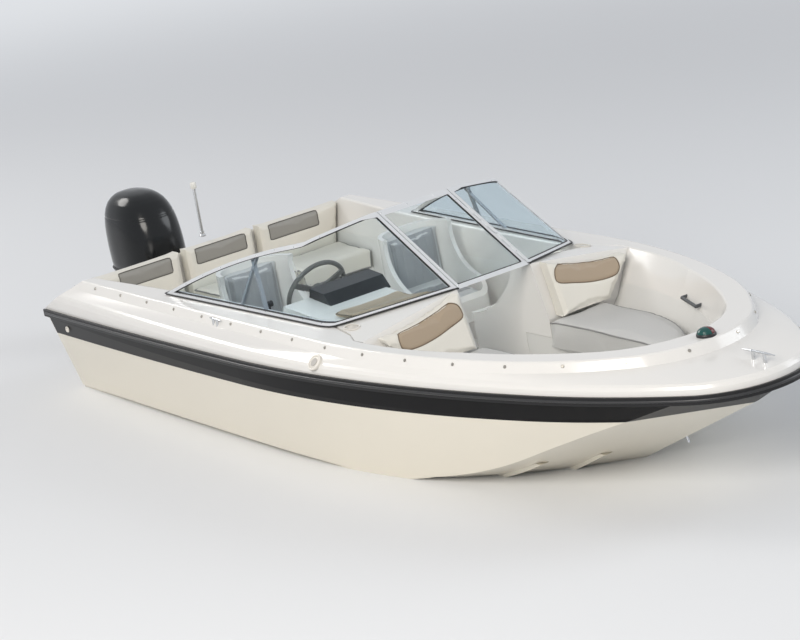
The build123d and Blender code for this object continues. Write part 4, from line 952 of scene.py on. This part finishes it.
# Marks on a dial: where they start and end along a radius, half their width, and how high they lie
DIAL_TICKS = 11
TICK_MARK = (0.62, 0.78, 0.018)
NEEDLE_MARK = (-0.12, 0.58, 0.022)
MARK_RISE = 0.0054
FIRST_TICK, TICK_SWEEP, NEEDLE_TURN = -125, 250, -70
WHEEL_Y = -0.40
GAUGE_RAY_X = 1.9
# The panel's face leans away from the wheel: the way that it looks, and the ways up and across it
FACE_SLOPE = Vector((-0.943, 0, 0.332))
UP_FACE = Vector((0.332, 0, 0.943))
ACROSS_FACE = Vector((0, 1, 0))
bezel_chrome = finish("bezel_chrome", (0.60, 0.61, 0.62), 0.14, (20, 0.05), metal=1.0)
dial_black = finish("dial_black", (0.008, 0.008, 0.009), 0.25, (20, 0.1), bump=(900, 0.00002))
dial_white = finish("dial_white", (0.75, 0.75, 0.72), 0.4, (20, 0.02), bump=(900, 0.00002))
panel_surface = surface_of("instrument_panel")
for number, (across, height, radius) in enumerate(GAUGES):
    hit = panel_surface.ray_cast(Vector((GAUGE_RAY_X, WHEEL_Y + across, height)), Vector((1, 0, 0)))[0]
    for name, profile, material in (("bezel", BEZEL_PROFILE, bezel_chrome), ("dial", DIAL_PROFILE, dial_black)):
        part = turned(f"gauge_{name}_{number}", [(radius * share, rise) for share, rise in profile], hit, FACE_SLOPE)
        put(part, "boat", material)
    marks = [(FIRST_TICK + TICK_SWEEP * k / (DIAL_TICKS - 1), TICK_MARK) for k in range(DIAL_TICKS)]
    points, faces = [], []
    for degrees, (inner, outer, half) in (*marks, (NEEDLE_TURN, NEEDLE_MARK)):
        turn = radians(degrees)
        spoke = UP_FACE * cos(turn) + ACROSS_FACE * sin(turn)
        side = UP_FACE * -sin(turn) + ACROSS_FACE * cos(turn)
        first = len(points)
        for reach, edge in ((inner, -half), (outer, -half), (outer, half), (inner, half)):
            points.append(hit + FACE_SLOPE * MARK_RISE + spoke * radius * reach + side * radius * edge)
        faces.append((first, first + 3, first + 2, first + 1))
    put(add_mesh(f"gauge_marks_{number}", points, faces), "boat", dial_white)

# Motor: a gloss black cowl of two mouldings over the engine, on a painted leg with the gearcase and
# a painted propeller. The upper cowl lifts off along a rubber seal.
# Columns: height, centre station, length, width
COWL = (
    (0.433, -0.492, 0.560, 0.384), (0.470, -0.494, 0.566, 0.390), (0.560, -0.500, 0.566, 0.392),
    (0.640, -0.506, 0.552, 0.388), (0.700, -0.512, 0.530, 0.380), (0.757, -0.518, 0.496, 0.362),
    (0.800, -0.524, 0.456, 0.336), (0.835, -0.528, 0.406, 0.300), (0.862, -0.532, 0.344, 0.252),
    (0.882, -0.535, 0.270, 0.195), (0.894, -0.538, 0.170, 0.120), (0.899, -0.538, 0.070, 0.050),
)
SEAL = (0.4315, -0.492, 0.562, 0.386)
SEAL_R = 0.004
COWL_SQUARE = 2.5
COWL_SIDES = 72
COWL_FOOT, COWL_CROWN = 0.433, 0.8985
COWL_STEP, COWL_STEPS = 0.006, 78
CAP_SEAM = 0.752
CAP_GROOVE = 0.004
CAP_GROOVE_WIDTH = 0.004


def cowl_ring(z, x, length, width):
    """A rounded outline of the cowl at a height."""
    points = []
    for k in range(COWL_SIDES):
        turn = 2 * pi * k / COWL_SIDES
        c, s = cos(turn), sin(turn)
        reach = (abs(c) ** COWL_SQUARE + abs(s) ** COWL_SQUARE) ** (-1 / COWL_SQUARE)
        points.append(Vector((x + length / 2 * reach * c, width / 2 * reach * s, z)))
    return points


def between(rows, z):
    """Values of a table at a height, smoothly between its rows."""
    i = max(k for k in range(len(rows) - 1) if rows[k][0] <= z)
    a, b, c, d = (rows[max(0, min(len(rows) - 1, i + k))] for k in (-1, 0, 1, 2))
    t = (z - b[0]) / (c[0] - b[0])
    return [smooth(*values, t) for values in zip(a[1:], b[1:], c[1:], d[1:])]


levels = [COWL_FOOT + COWL_STEP * k for k in range(COWL_STEPS)] + [COWL_CROWN]
points, faces = [], []
for z in levels:
    x, length, width = between(COWL, z)
    groove = CAP_GROOVE * exp(-(((z - CAP_SEAM) / CAP_GROOVE_WIDTH) ** 2))
    points += cowl_ring(z, x, length - 2 * groove, width - 2 * groove)
for i in range(len(levels) - 1):
    for k in range(COWL_SIDES):
        a, b = i * COWL_SIDES + k, i * COWL_SIDES + (k + 1) % COWL_SIDES
        faces.append((a, b, b + COWL_SIDES, a + COWL_SIDES))
faces.append(tuple(reversed(range(COWL_SIDES))))
faces.append(tuple(range((len(levels) - 1) * COWL_SIDES, len(levels) * COWL_SIDES)))
motor_black = finish("motor_black", (0.005, 0.006, 0.007), 0.16, (4, 0.2), bump=(300, 0.00002), ior=1.42)
leg_black = finish("leg_black", (0.008, 0.009, 0.010), 0.3, (6, 0.2), bump=(400, 0.00005), ior=1.42)
cowl = add_mesh("cowl_shell", points, faces)
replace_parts(put(cowl, "motor", motor_black, 60), "cowl_upper")
dress(motor_black, "cowl_lower")
dress(leg_black, "midsection", "gearcase", "swivel_bracket", "transom_bracket", "propeller", "engine_block")
bead("cowl_seal", cowl_ring(*SEAL), SEAL_R, gasket_rubber, "motor", closed=True)
